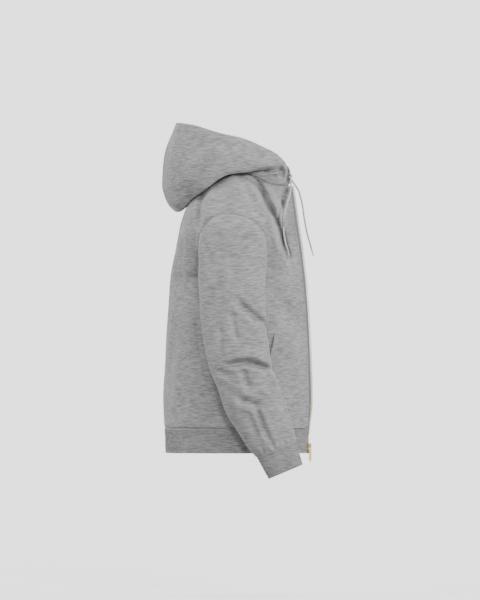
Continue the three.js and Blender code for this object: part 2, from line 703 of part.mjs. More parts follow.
// Pull tab: it hangs from its cross bar under the bridge
const tab = { wide: 8.6, long: 38, thick: 1.6, bar: 0.9, window: 3.4, windowLong: 7.4, hole: 2.1 };
const tabAxis = { y: -slider.half - 1.5, z: 5.3 };
const tabRound = (radius, thick) =>
  wasm.Manifold.cylinder(thick, radius, radius, 24, true)
    .rotate([90, 0, 0])
    .translate([0, 0, tab.wide / 2 - tab.long]);
const tabSolid = wasm.Manifold.union([
  block(-tab.wide / 2, tab.wide / 2, tab.thick / 2, tab.wide / 2 - tab.long, tab.bar),
  tabRound(tab.wide / 2, tab.thick),
])
  .subtract(block(-tab.window / 2, tab.window / 2, tab.thick, -tab.bar - tab.windowLong, -tab.bar))
  .subtract(tabRound(tab.hole, 2 * tab.thick))
  .translate([sliderMiddle, tabAxis.y, tabAxis.z]);

// Retainer box at the foot of the right tape, and the pin at the foot of the left one. The tape lies in a
// slot in each.
const tapeSlot = (from, low, high) => block(from, tape.beyondEdge + 0.4, slider.slot, low, high);
const retainer = block(5.6, 13.6, 2.3, -13.5, -1.2).subtract(tapeSlot(5, -14, 0));
const pin = block(6.2, 9.2, 1.5, -12.5, 8).subtract(tapeSlot(6, -14, 9));

// Sets the hardware on the tape at a height, on the left or the right edge
function onTape(solid, height, side) {
  const low = zipLine[0];
  const high = zipLine[1];
  const upward = high.edge.clone().sub(low.edge).normalize();
  const share = (height - low.edge.z) / (high.edge.z - low.edge.z);
  const middle = low.edge.clone().lerp(high.edge, share).addScaledVector(low.outward, -tapeMiddle);
  const inward = low.outward.clone().negate();
  const placed = solid.transform([
    ...low.across.toArray(), 0, ...inward.toArray(), 0, ...upward.toArray(), 0, ...middle.toArray(), 1,
  ]);
  return toGeometry(side < 0 ? placed.mirror([1, 0, 0]) : placed);
}
const sliderHeight = -690;
addPiece("zip_slider", onTape(sliderSolid, sliderHeight, sides.right), brass);
addPiece("zip_pull_tab", onTape(tabSolid, sliderHeight, sides.right), brass);
addPiece("zip_retainer_box", onTape(retainer, sliderHeight, sides.right), brass);
addPiece("zip_pin", onTape(pin, sliderHeight, sides.left), brass);

// Drawcords: their free ends hang out of the hood at the neck. The right one lies in the valley behind the
// front edge, and the left one stands off in front of it.
const cordRadius = 2.1;
const cordTip = { long: 19, radius: 1.6 };
const rightCord = [
  [-47.2, -136.2, -39.4],
  [-48.6, -139.2, -47.4],
  [-49.5, -138, -70],
  [-53.5, -136, -84],
  [-60.6, -131, -100],
  [-69.1, -126.5, -119],
  [-75.2, -123.4, -133],
  [-81.4, -121.4, -149],
  [-87.6, -121, -166],
  [-94, -122.6, -182],
  [-100.7, -126.5, -202],
  [-101.6, -131, -216],
  [-102.6, -134.5, -232],
];
const leftCord = [
  [47.2, -136.2, -39.4],
  [46.2, -142.2, -49.4],
  [43, -156.5, -71],
  [43, -161, -84],
  [43, -165, -100],
  [43, -168, -116],
  [43, -172, -144],
  [44, -178.5, -177],
  [45, -187.5, -209],
  [46, -193, -230],
];
function cordGeometry(route) {
  const curve = new THREE.CatmullRomCurve3(route.map(v3));
  const along = 26;
  const around = 8;
  const tube = new THREE.TubeGeometry(curve, along, cordRadius, around, false);
  const position = tube.getAttribute("position");
  const rings = evenSteps(along).map((share, i) => {
    const middle = curve.getPointAt(share);
    const narrow = (1 - share) * curve.getLength() < cordTip.long ? cordTip.radius / cordRadius : 1;
    const points = [];
    for (let j = 0; j < around; j++) {
      const p = new THREE.Vector3().fromBufferAttribute(position, i * (around + 1) + j);
      points.push(p.sub(middle).multiplyScalar(narrow).add(middle));
    }
    return { middle, points };
  });
  const index = [];
  const at = (i, j) => i * around + (j % around);
  const [firstEnd, lastEnd] = [rings.length * around, rings.length * around + 1];
  for (let j = 0; j < around; j++) {
    for (let i = 0; i < along; i++)
      index.push(at(i, j), at(i, j + 1), at(i + 1, j + 1), at(i, j), at(i + 1, j + 1), at(i + 1, j));
    index.push(firstEnd, at(0, j + 1), at(0, j));
    index.push(lastEnd, at(along, j), at(along, j + 1));
  }
  const points = [...rings.map((ring) => ring.points), [rings[0].middle, rings[along].middle]];
  return facingOut(geometryOf(coordinates(points), index));
}
addPiece("drawcord_right", cordGeometry(rightCord), cordCotton);
addPiece("drawcord_left", cordGeometry(leftCord), cordCotton);

export default hoodie;
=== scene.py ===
import math

import bpy
import numpy as np
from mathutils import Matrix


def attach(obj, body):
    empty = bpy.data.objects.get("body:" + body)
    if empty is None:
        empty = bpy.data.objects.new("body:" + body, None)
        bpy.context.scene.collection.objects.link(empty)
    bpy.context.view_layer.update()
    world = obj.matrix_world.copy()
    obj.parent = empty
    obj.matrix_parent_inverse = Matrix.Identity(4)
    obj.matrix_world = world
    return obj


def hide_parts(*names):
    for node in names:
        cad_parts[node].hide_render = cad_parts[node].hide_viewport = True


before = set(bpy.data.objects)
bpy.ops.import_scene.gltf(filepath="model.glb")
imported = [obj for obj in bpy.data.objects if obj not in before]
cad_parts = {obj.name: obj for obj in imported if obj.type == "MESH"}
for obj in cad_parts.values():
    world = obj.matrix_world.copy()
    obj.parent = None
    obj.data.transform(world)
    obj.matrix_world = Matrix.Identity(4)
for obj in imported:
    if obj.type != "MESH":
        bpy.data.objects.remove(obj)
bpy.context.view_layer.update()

# Camera: level with the garment's middle, at its right side, forty metres away on a very long lens, so
# that the side view has almost no perspective. The picture is 1.44 m high where the garment hangs.
camera_data = bpy.data.cameras.new("side_camera")
camera_data.sensor_fit = "VERTICAL"
camera_data.sensor_height = 36
camera_data.lens = 1000
camera_data.clip_end = 5000
camera = bpy.data.objects.new("side_camera", camera_data)
camera.location = (-40.0, -0.0168, -0.336)
camera.rotation_euler = (math.radians(90), 0, math.radians(-90))
bpy.context.scene.collection.objects.link(camera)
bpy.context.scene.camera = camera


# Drawcords: two braided cotton cords, 4.2 mm thick, that come out of a stitched eyelet in each half of the
# hood. About 0.2 m of each hangs free and ends in a heat-pressed tip. They are paler than the cloth.
def linear(hex_colour):
    channels = [int(hex_colour[i : i + 2], 16) / 255 for i in (1, 3, 5)]
    return [c / 12.92 if c <= 0.04045 else ((c + 0.055) / 1.055) ** 2.4 for c in channels] + [1]


def add_node(material, kind, inputs=None, settings=None):
    """Adds a node with its settings. An input is a number, a colour or another node's socket."""
    node = material.node_tree.nodes.new("ShaderNode" + kind)
    for name, value in (settings or {}).items():
        setattr(node, name, value)
    for name, value in (inputs or {}).items():
        if isinstance(value, bpy.types.NodeSocket):
            material.node_tree.links.new(value, node.inputs[name])
        else:
            node.inputs[name].default_value = value
    return node


def new_material(name):
    material = bpy.data.materials.new(name)
    material.use_nodes = True
    material.node_tree.nodes.clear()
    return material


def finish_material(material, inputs):
    """Ends a material with its shader. A value that is the same all over is set on the shader itself."""
    shader = add_node(material, "BsdfPrincipled", inputs)
    add_node(material, "OutputMaterial", {"Surface": shader.outputs["BSDF"]})


# Braided cotton: a matt, pale grey cord whose crossing strands, each about 2 mm wide, shade each other
cord_cotton = new_material("braided_cotton_cord")
place = add_node(cord_cotton, "TexCoord").outputs
strands = []
for turn in (0.9, -0.9):
    turned = add_node(cord_cotton, "Mapping", {"Vector": place["UV"], "Rotation": (0, 0, turn)})
    strand = add_node(
        cord_cotton, "TexWave", {"Vector": turned.outputs[0], "Scale": 150}, {"bands_direction": "X"}
    )
    strands.append(strand.outputs["Fac"])
crossing = add_node(cord_cotton, "Math", {0: strands[0], 1: strands[1]}, {"operation": "MAXIMUM"}).outputs[0]
shades = {"Factor": crossing, 6: linear("#a0a09f"), 7: linear("#d0d0ce")}
strand_colour = add_node(cord_cotton, "Mix", shades, {"data_type": "RGBA"})
cord_bump = add_node(cord_cotton, "Bump", {"Height": crossing, "Strength": 0.5, "Distance": 0.0005})
cord_look = {"Base Color": strand_colour.outputs[2], "Normal": cord_bump.outputs[0]}
finish_material(cord_cotton, {**cord_look, "Roughness": 0.9, "Sheen Weight": 0.15})

cord_radius = 2.1
cord_tip = 19
cord_tip_radius = 1.6
cord_points = 150
cord_sides = 16
cord_routes = {
    "right": [
        (-47.2, -136.2, -39.4), (-48.6, -139.2, -47.4), (-49.5, -138, -70), (-53.5, -136, -84),
        (-60.6, -131, -100), (-69.1, -126.5, -119), (-75.2, -123.4, -133), (-81.4, -121.4, -149),
        (-87.6, -121, -166), (-94, -122.6, -182), (-100.7, -126.5, -202), (-101.6, -131, -216),
        (-102.6, -134.5, -232),
    ],
    "left": [
        (47.2, -136.2, -39.4), (46.2, -142.2, -49.4), (43, -156.5, -71), (43, -161, -84), (43, -165, -100),
        (43, -168, -116), (43, -172, -144), (44, -178.5, -177), (45, -187.5, -209), (46, -193, -230),
    ],
}


def line_through(points, places, at):
    """A smooth line through points that stand at rising places, read at one place."""
    i = 0
    while i < len(places) - 2 and at > places[i + 1]:
        i += 1

    def slope(k):
        before, after = max(k - 1, 0), min(k + 1, len(places) - 1)
        return (points[after] - points[before]) / (places[after] - places[before])

    span = places[i + 1] - places[i]
    t = (at - places[i]) / span
    return (
        points[i] * (2 * t**3 - 3 * t**2 + 1)
        + slope(i) * (t**3 - 2 * t**2 + t) * span
        + points[i + 1] * (3 * t**2 - 2 * t**3)
        + slope(i + 1) * (t**3 - t**2) * span
    )


def lengths_along(points):
    """How far along its own line each point is."""
    steps = np.linalg.norm(np.diff(points, axis=0), axis=-1)
    return np.concatenate([np.zeros((1,) + steps.shape[1:]), np.cumsum(steps, axis=0)])


def spread(points):
    """The places of points along their own line, from 0 to 1."""
    lengths = lengths_along(points)
    return lengths / lengths[-1]


def read_line(at, places, points):
    """Points that stand at rising places, read at other places with straight steps between."""
    return np.stack([np.interp(at, places, column) for column in points.T], axis=1)


def even_line(points, count):
    """A smooth line through the points as so many points evenly along it."""
    points = np.array(points, float)
    places = spread(points)
    fine = np.array([line_through(points, places, t) for t in np.linspace(0, 1, count * 4)])
    return read_line(np.linspace(0, 1, count), spread(fine), fine)


def unit(v):
    return v / np.maximum(np.linalg.norm(v, axis=-1, keepdims=True), 1e-9)


def make_piece(name, points, faces, material, smooth=True):
    """Puts a mesh of points in millimetres into the scene."""
    mesh = bpy.data.meshes.new(name)
    mesh.from_pydata((points / 1000).tolist(), [], faces)
    mesh.polygons.foreach_set("use_smooth", [smooth] * len(mesh.polygons))
    mesh.materials.append(material)
    mesh.update()
    piece = bpy.data.objects.new(name, mesh)
    bpy.context.scene.collection.objects.link(piece)
    return piece


def grid_mesh(name, grid, material, closed=False, flip=False, caps=()):
    """A mesh of quads on a grid of points, with UVs in metres along the cloth. Two caps close a tube."""
    nu, nv = grid.shape[:2]
    i, k = np.meshgrid(np.arange(nu if closed else nu - 1), np.arange(nv - 1), indexing="ij")
    j = (i + 1) % nu
    corners = [i * nv + k, j * nv + k, j * nv + k + 1, i * nv + k + 1]
    middle_row = grid[:, nv // 2]
    if closed:
        middle_row = np.concatenate([middle_row, middle_row[:1]])
    u = lengths_along(middle_row) / 1000
    v = lengths_along(grid[nu // 2]) / 1000
    places = [(u[i], v[k]), (u[i + 1], v[k]), (u[i + 1], v[k + 1]), (u[i], v[k + 1])]
    if flip:
        corners, places = corners[::-1], places[::-1]
    faces = np.stack(corners, axis=-1).reshape(-1, 4).tolist()
    loops = np.stack([np.stack(pair, axis=-1) for pair in places], axis=-2).reshape(-1, 2)
    points = grid.reshape(-1, 3)
    if caps:
        first = len(points)
        points = np.concatenate([points, caps])
        for s in range(nu):
            t = (s + 1) % nu
            faces.append((s * nv, first, t * nv))
            faces.append((s * nv + nv - 1, t * nv + nv - 1, first + 1))
        loops = np.concatenate([loops, np.zeros((6 * nu, 2))])
    piece = make_piece(name, points, faces, material)
    piece.data.uv_layers.new(name="cloth").data.foreach_set("uv", loops.ravel())
    return piece


def tube(name, line, radii, sides, material, beside=(0.3, 0.9, 0.2)):
    """A closed tube round a line of points, with one radius for each point."""
    tangent = unit(np.gradient(line, axis=0))
    across = unit(np.cross(tangent, beside))
    upward = np.cross(tangent, across)
    angles = np.arange(sides)[:, None, None] * 2 * math.pi / sides
    grid = line + (np.cos(angles) * across + np.sin(angles) * upward) * radii[:, None]
    return grid_mesh(name, grid, material, closed=True, caps=[line[0], line[-1]])


for side, route in cord_routes.items():
    line = even_line(route, cord_points)
    left_over = np.linspace(1, 0, cord_points) * lengths_along(line)[-1]
    narrowing = np.clip((left_over - cord_tip + 2) / 4, 0, 1)
    radii = cord_tip_radius + (cord_radius - cord_tip_radius) * narrowing
    radii[-1] *= 0.7
    cord = tube("drawcord_braid_" + side, line, radii, cord_sides, cord_cotton)
    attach(cord, "garment")
    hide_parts("drawcord_" + side)

# Front panels: one on each side of the open zip, cut from 330 g/m2 brushed-back fleece in heather grey.
# Each is sewn to the back at the shoulder and the side, and its free edge stands a little forward.
# Sizes in these tables are millimetres on the wearer's left, and the right side mirrors them.


# Heather fleece: loop-knit cotton whose dark and pale fibres are mixed before spinning. It gives a soft
# grey with short level streaks, a fine upright wale and a faint haze of raised fibre at its edges.
def fleece_material(name, dark, pale, wale):
    material = new_material(name)
    place = add_node(material, "TexCoord").outputs
    # Fibre streaks are about 20 mm long and 3 mm high, coarser than real ones so that they show
    streak_place = add_node(material, "Mapping", {"Vector": place["Object"], "Scale": (50, 50, 340)})
    streak_size = {"Vector": streak_place.outputs[0], "Scale": 1, "Detail": 5, "Roughness": 0.62}
    streaks = add_node(material, "TexNoise", streak_size).outputs["Fac"]
    # Broader clouds of shade, about 60 mm across, come from uneven mixing
    cloud_size = {"Vector": place["Object"], "Scale": 16, "Detail": 3, "Roughness": 0.5}
    clouds = add_node(material, "TexNoise", cloud_size).outputs["Fac"]
    mixed = add_node(material, "Math", {0: clouds, 1: 0.25, 2: streaks}, {"operation": "MULTIPLY_ADD"})
    shade = add_node(material, "ValToRGB", {"Fac": mixed.outputs[0]})
    for element, position, colour in zip(shade.color_ramp.elements, (0.45, 0.8), (dark, pale)):
        element.position = position
        element.color = linear(colour)
    # The wales of the knit run up the cloth, so many millimetres apart
    wale_place = add_node(material, "Mapping", {"Vector": place["UV"], "Scale": (1000 / wale, 700, 1)})
    wale_size = {"Vector": wale_place.outputs[0], "Scale": 0.314, "Distortion": 1.2, "Detail": 2}
    wales = add_node(material, "TexWave", wale_size, {"bands_direction": "X"}).outputs["Fac"]
    height = add_node(material, "Math", {0: streaks, 1: 0.6, 2: wales}, {"operation": "MULTIPLY_ADD"})
    bump = add_node(material, "Bump", {"Height": height.outputs[0], "Strength": 0.12, "Distance": 0.0006})
    look = {"Base Color": shade.outputs[0], "Normal": bump.outputs[0], "Roughness": 0.95}
    haze = {"Specular IOR Level": 0.25, "Sheen Weight": 0.4, "Sheen Roughness": 0.35}
    finish_material(material, {**look, **haze})
    return material


seam_sink = 4.2
seam_width = 2
allowance_radius = 2.6
allowance_sides = 8
heather_fleece = fleece_material("heather_grey_fleece", "#767677", "#a9a9a8", 1.3)

fleece_wall = 2
body_levels = [
    # at, edge, flare, chest, front seam, back seam, blade, spine
    (0, (86, -172, -643), 8, (191, -130, -643), (203, -8, -643),
     (203, -8, -643), (196, 161, -643), (0, 165, -643)),
    (0.13, (84, -173.5, -560), 8, (193, -130, -560), (204, -8, -560),
     (204, -8, -560), (198, 164, -560), (0, 166, -560)),
    (0.3, (80, -170.5, -450), 8, (192, -128, -450), (203, -8, -450),
     (203, -8, -450), (196, 161, -450), (0, 161.5, -450)),
    (0.44, (75, -166, -360), 8, (189, -126, -360), (199, -8, -360),
     (199, -8, -360), (192, 158, -360), (0, 155.5, -360)),
    (0.55, (69, -159.5, -290), 9, (184, -124, -290), (193, -8, -290),
     (193, -8, -290), (184, 152, -290), (0, 148.5, -290)),
    (0.6, (66.5, -152, -262), 13, (182, -123, -266), (194, -37, -281),
     (194, 30, -281), (180, 150, -266), (0, 145, -262)),
    (0.68, (62, -137, -215), 22, (172, -122, -222), (200, -66, -248),
     (200, 62, -248), (170, 147, -224), (0, 137, -215)),
    (0.78, (55, -121, -160), 29, (152, -113, -155), (218, -80, -190),
     (218, 82, -190), (150, 137, -162), (0, 125, -160)),
    (0.89, (47, -122, -108), 21, (130, -108, -84), (238, -50, -145),
     (238, 52, -139), (132, 108, -92), (0, 106, -102)),
]
level_places = [level[0] for level in body_levels] + [1]
underarm_at = 0.55
neck_seam = np.array(
    [(40, -136, -60), (60, -121, -62), (78, -92, -58), (88, -50, -40), (86, 0, -22), (66, 44, -14),
     (35, 62, -17), (0, 68, -20)], float
)
shoulder_seam = np.array(
    [(86, 0, -22), (120, 0, -35), (155, 0, -51), (195, 0, -77), (226, 0, -104), (246, 0, -127)], float
)
neck_places = spread(neck_seam)
shoulder_places = spread(shoulder_seam)
neck_at_shoulder = neck_places[4]
front_neck_share = 0.42
back_neck_share = 0.34
flare_share = 0.17


def bend(start, corner, end, t):
    a, b, c = (1 - t) ** 2, 1.9 * t * (1 - t), t**2
    total = (a + b + c)[:, None]
    return (a[:, None] * start + b[:, None] * corner + c[:, None] * end) / total


def panel_grid(is_front, us, vs):
    """Half the front or the back as points for each place across and each place up."""
    us = np.array(us, float)
    lines = []
    for _, edge, flare, chest, front_seam, back_seam, blade, spine in body_levels:
        if is_front:
            points = bend(np.array(edge), np.array(chest), np.array(front_seam), us)
            points[:, 1] -= flare * np.clip(1 - us / flare_share, 0, 1) ** 1.6
        else:
            points = bend(np.array(spine), np.array(blade), np.array(back_seam), us)
        lines.append(points)
    neck_share = front_neck_share if is_front else back_neck_share
    top = []
    for u in us:
        if u > neck_share:
            place = (u - neck_share) / (1 - neck_share)
            top.append(line_through(shoulder_seam, shoulder_places, place))
        elif is_front:
            top.append(line_through(neck_seam, neck_places, u / neck_share * neck_at_shoulder))
        else:
            place = 1 - u / neck_share * (1 - neck_at_shoulder)
            top.append(line_through(neck_seam, neck_places, place))
    lines.append(np.array(top))
    return np.stack([line_through(lines, level_places, v) for v in vs], axis=1)


def side_seam_shift(vs):
    """How far the front's side edge moves to meet the back's below the underarm."""
    front = panel_grid(True, [1.0], vs)[0]
    back = panel_grid(False, [1.0], vs)[0]
    shift = (back - front) / 2
    shift[np.array(vs) > underarm_at] = 0
    return shift


def crowded(start, end, count, length):
    """Places from start to end with more of them near both ends, where the seams sink."""
    near = np.array([0, 0.8, 1.9, 3.6, 6.2]) / length
    inner = np.linspace(near[-1] * 1.6, 1 - near[-1] * 1.6, count)
    shares = np.concatenate([near, inner, 1 - near[::-1]])
    return start + (end - start) * shares


def outward(grid, flip, closed=False):
    """The outward direction at each point of a grid."""
    if closed:
        padded = np.concatenate([grid[-1:], grid, grid[:1]])
        across = np.gradient(padded, axis=0)[1:-1]
    else:
        across = np.gradient(grid, axis=0)
    up = np.gradient(grid, axis=1)
    return unit(np.cross(across, up)) * (-1 if flip else 1)


def smooth_step(x, low, high):
    t = np.clip((x - low) / (high - low), 0, 1)
    return t * t * (3 - 2 * t)


def hump(x, width):
    """A soft hump, 1 at nought and almost gone at twice its width."""
    return np.exp(-((x / width) ** 2))


def distance_along(flat, line):
    """The distance of points from a line of points in a plane, and the nearest place along it."""
    line = np.array(line, float)
    lengths = np.linalg.norm(np.diff(line, axis=0), axis=1)
    total = lengths.sum()
    best = np.full(flat.shape[:-1], 1e9)
    place = np.zeros(flat.shape[:-1])
    gone = 0.0
    for start, end, length in zip(line[:-1], line[1:], lengths):
        along = end - start
        t = np.clip(((flat - start) @ along) / (along @ along), 0, 1)
        gap = np.linalg.norm(flat - (start + t[..., None] * along), axis=-1)
        nearer = gap < best
        best = np.where(nearer, gap, best)
        place = np.where(nearer, (gone + t * length) / total, place)
        gone += length
    return best, place


def crease(grid, normal, rows, plane):
    """Sinks the creases of a table. A row is a depth, a half width and a line as seen from that side. A
    crease fades at both ends and pushes up a soft lip on each side. A row with a minus depth is a ridge."""
    if plane == "side":
        flat = grid[..., [1, 2]]
        inward = np.stack([-np.sign(grid[..., 0]), 0 * grid[..., 0], 0 * grid[..., 0]], axis=-1)
    else:
        flat = grid[..., [0, 2]]
        inward = np.array([0, 1 if plane == "front" else -1, 0]) + 0 * grid
    facing = -(inward * normal).sum(axis=-1)
    shown = smooth_step(facing, 0.0, 0.25) / np.maximum(facing, 0.42)
    sunk = np.zeros(grid.shape[:-1])
    for depth, half_width, line in rows:
        gap, place = distance_along(flat, line)
        fade = smooth_step(place, -0.12, 0.25) * smooth_step(1 - place, -0.12, 0.25)
        lip = hump(gap - 2.1 * half_width, half_width)
        sunk += depth * (hump(gap, half_width) - 0.25 * lip) * fade
    return grid + inward * (sunk * shown)[..., None]


def held_at(plain, creased, fades):
    """The creased cloth, but plain along its seams. A fade is a side and the distance that it takes."""
    gaps = edge_gap(plain)
    share = np.ones(plain.shape[:-1])
    for side, reach in fades:
        share = share * smooth_step(gaps[side], 0, reach)
    return plain + (creased - plain) * share[..., None]


def soft_waves(grid, size, height, seed):
    """Low, uneven waves over the cloth, with crests about one size apart."""
    chance = np.random.default_rng(seed)
    rise = np.zeros(grid.shape[:-1])
    for _ in range(14):
        direction = unit(chance.normal(size=3))
        wavelength = size * chance.uniform(0.7, 1.6)
        rise += np.sin(grid @ direction * 2 * math.pi / wavelength + chance.uniform(0, 6.3))
    return rise * height / math.sqrt(14)


def edge_gap(grid):
    """Distances in mm of each point from the first and last column and the first and last row."""
    across = lengths_along(grid)
    up = lengths_along(grid.swapaxes(0, 1)).T
    return {"first": across, "last": across[-1:] - across, "low": up, "high": up[:, -1:] - up}


def roughened(grid, normal, size, height, seed, gap, reach):
    """Cloth with low waves, which begin at the first reach from an edge and are full at the second."""
    waves = soft_waves(grid, size, height, seed) * smooth_step(gap, *reach)
    return grid + normal * waves[..., None]


def sink_seams(grid, normal, sides, rows=()):
    """Draws the cloth in at the seams on the named sides, and a little under rows of stitching.
    A row of stitching is a side and its distance from that side."""
    gaps = edge_gap(grid)
    sink = sum(seam_sink * np.exp(-gaps[side] / seam_width) for side in sides)
    for side, inset in rows:
        sink = sink + 0.55 * hump(gaps[side] - inset, 1.5)
    sunk = grid - normal * sink[..., None]
    # The cut edge stops half a millimetre short of the seam, which leaves a fine dark slit
    for side in sides:
        lines = sunk if side in ("first", "last") else sunk.swapaxes(0, 1)
        edge, next_line = (0, 1) if side in ("first", "low") else (-1, -2)
        lines[edge] = (lines[edge] + lines[next_line]) / 2
    return sunk


def seam_allowance(name, line, inward):
    """The overlocked edges of two pieces, turned in along their seam, as one thick ridge behind it. It is
    thicker where the pieces meet at an angle, so that the mean of their inward directions is short."""
    together = np.minimum(np.linalg.norm(inward, axis=1), 1)
    radii = allowance_radius + 3.4 * np.sqrt(1 - together**2)
    ridge = line + inward * seam_sink + unit(inward) * allowance_radius
    # The ridge is dark overlock thread, partly its own colour and partly painted shade seen in each seam's
    # slit
    piece = tube("seam_allowance_" + name, ridge, radii, allowance_sides, overlock_thread_and_seam_shade, beside=inward)
    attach(piece, "garment")


def varied(rows, seed):
    """Creases for the other side of the garment: like the first ones, with other depths and places."""
    chance = np.random.default_rng(seed)
    others = []
    for depth, half_width, line in rows:
        shift = chance.uniform(-8, 8, size=2)
        lean = chance.uniform(-7, 7, size=2) * np.linspace(-1, 1, len(line))[:, None]
        depth *= chance.uniform(0.55, 1)
        half_width *= chance.uniform(0.95, 1.3)
        others.append((depth, half_width, line + shift + lean))
    return others


# Sewing thread: spun polyester. The rows of stitches are a little darker than the cloth, so that they show
# as fine lines. The loops that bind the cut edges inside are darker still: painted shade, so the seams look
# deep.
def mottled_material(name, grain, detail, dark, pale, roughness, metallic=0):
    """A material whose colour wanders between two shades, with so many grains of colour to a metre."""
    material = new_material(name)
    place = add_node(material, "TexCoord").outputs["Object"]
    grains = add_node(material, "TexNoise", {"Vector": place, "Scale": grain, "Detail": detail})
    shades = {"Factor": grains.outputs["Fac"], 6: linear(dark), 7: linear(pale)}
    colour = add_node(material, "Mix", shades, {"data_type": "RGBA"}).outputs[2]
    finish_material(material, {"Base Color": colour, "Roughness": roughness, "Metallic": metallic})
    return material


# The thread's two plies turn about once a millimetre
sewing_thread = mottled_material("spun_polyester_thread", 1000, 1, "#6c6c6d", "#9a9a99", 0.7)
# The overlock thread's dark grey is partly the thread's own colour and partly painted shade for the seam
# slits
overlock_thread_and_seam_shade = mottled_material("overlock_thread_and_painted_seam_shade", 1000, 1, "#3c3c3d", "#5a5a5a", 0.7)
stitch_pitch = 3.4
stitch_rings = ((-1.3, 0.0), (-0.7, 0.36), (0.7, 0.36), (1.3, 0.0))


def row_beside(grid, normal, side, inset, keep=None):
    """Points and outward directions on a grid at one distance from one of its sides."""
    gap = edge_gap(grid)[side]
    both = np.concatenate([grid, normal], axis=-1)
    if side in ("low", "high"):
        gap, both = gap.T, both.swapaxes(0, 1)
    if side in ("last", "high"):
        gap, both = gap[::-1], both[::-1]
    lines = range(gap.shape[1]) if keep is None else np.flatnonzero(keep)
    found = np.array([[np.interp(inset, gap[:, k], both[:, k, c]) for c in range(6)] for k in lines])
    return found[:, :3], found[:, 3:]


def stitching(name, rows, side):
    """One mesh of the small stitches along rows of points, each proud of the cloth by its own thickness."""
    vertices, faces = [], []
    for points, normals in rows:
        places = spread(points)
        count = int(lengths_along(points)[-1] / stitch_pitch)
        at = (np.arange(count) + 0.5) / count
        sources = (points, normals, np.gradient(points, axis=0))
        middle, out, along = (read_line(at, places, source) for source in sources)
        out, along = unit(out), unit(along)
        across = np.cross(out, along)
        for m, o, a, c in zip(middle, out, along, across):
            start = len(vertices)
            vertices.append(m + a * stitch_rings[0][0])
            for place, radius in stitch_rings[1:3]:
                for turn in range(4):
                    angle = math.pi * (0.25 + turn / 2)
                    lift = 0.12 + radius * math.sin(angle)
                    vertices.append(m + a * place + c * radius * math.cos(angle) + o * lift)
            vertices.append(m + a * stitch_rings[3][0])
            for turn in range(4):
                after = (turn + 1) % 4
                faces.append((start, start + 1 + after, start + 1 + turn))
                faces.append((start + 1 + turn, start + 1 + after, start + 5 + after, start + 5 + turn))
                faces.append((start + 5 + turn, start + 5 + after, start + 9))
    points = np.array(vertices)
    if side == "right":
        points = mirror(points)
        faces = [face[::-1] for face in faces]
    piece = make_piece(name, points, faces, sewing_thread)
    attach(piece, "garment")


def mirror(points):
    return points * [-1, 1, 1]


def cloth_piece(name, node, side, grid, wall, material, closed=False):
    """A cloth piece as a thin shell whose outer face is the grid. The right side mirrors the left one, and a
    piece that goes right across has no side."""
    if side:
        name, node = name + "_" + side, node + "_" + side
    shown = mirror(grid) if side == "right" else grid
    piece = grid_mesh(name, shown, material, closed=closed, flip=side != "left")
    shell = piece.modifiers.new("wall", "SOLIDIFY")
    shell.thickness = wall / 1000
    shell.offset = -1
    shell.use_rim = True
    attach(piece, "garment")
    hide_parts(node)
    return piece


chest_creases = [
    # depth, half width, line of Y and Z
    (21, 7.5, [(-52, -48), (-60, -54), (-70, -75), (-80, -104), (-95, -130), (-106, -156), (-114, -180),
               (-121, -204), (-128, -220), (-136, -236)]),
    (13, 5.5, [(-131, -30), (-132, -44), (-128, -70), (-119, -96), (-113, -118), (-108, -152)]),
    (5, 7, [(-22, -52), (-30, -66), (-38, -82), (-46, -98)]),
    (3, 12, [(-60, -235), (-90, -262), (-125, -280)]),
    (-3.5, 8, [(-94, -62), (-104, -96), (-107, -120)]),
    (3.5, 16, [(-110, -300), (-128, -350), (-140, -395)]),
    (2.5, 9, [(-66, -190), (-80, -212), (-88, -250)]),
]
lower_front_creases = [
    # depth, half width, line of X and Z
    (2.5, 14, [(178, -300), (150, -345), (122, -372)]),
    (2, 12, [(188, -420), (160, -455), (140, -470)]),
    (2.5, 12, [(104, -206), (112, -270), (106, -340)]),
]
front_us = crowded(0, 1, 84, 215)
front_vs = crowded(0, 1, 180, 640)
front_shift = side_seam_shift(front_vs)
front_plain = panel_grid(True, front_us, front_vs)
front_plain += smooth_step(front_us, 0.5, 1)[:, None, None] * front_shift[None]
zip_stitch = 6
armhole_stitch = 8
seam_stitch = 4.5
beside_armhole = front_vs > underarm_at
for side, seed in (("right", 5), ("left", 3)):
    normal = outward(front_plain, False)
    grid = crease(front_plain, normal, chest_creases if side == "right" else varied(chest_creases, 7), "side")
    grid = crease(grid, normal, lower_front_creases, "front")
    grid = held_at(front_plain, grid, [("first", 14), ("high", 16), ("low", 10), ("last", 14)])
    inside = np.minimum.reduce(list(edge_gap(grid).values()))
    grid = roughened(grid, normal, 90, 0.9, seed, inside, (2, 25))
    grid = sink_seams(grid, normal, ["last", "low", "high"], [("first", zip_stitch), ("high", seam_stitch)])
    piece = cloth_piece("front_panel", "front", side, grid, fleece_wall, heather_fleece)
    normal = outward(grid, False)
    rows = [
        row_beside(grid, normal, "first", zip_stitch),
        row_beside(grid, normal, "high", seam_stitch),
        row_beside(grid, normal, "last", armhole_stitch, beside_armhole),
    ]
    stitching("front_stitching_" + side, rows, side)

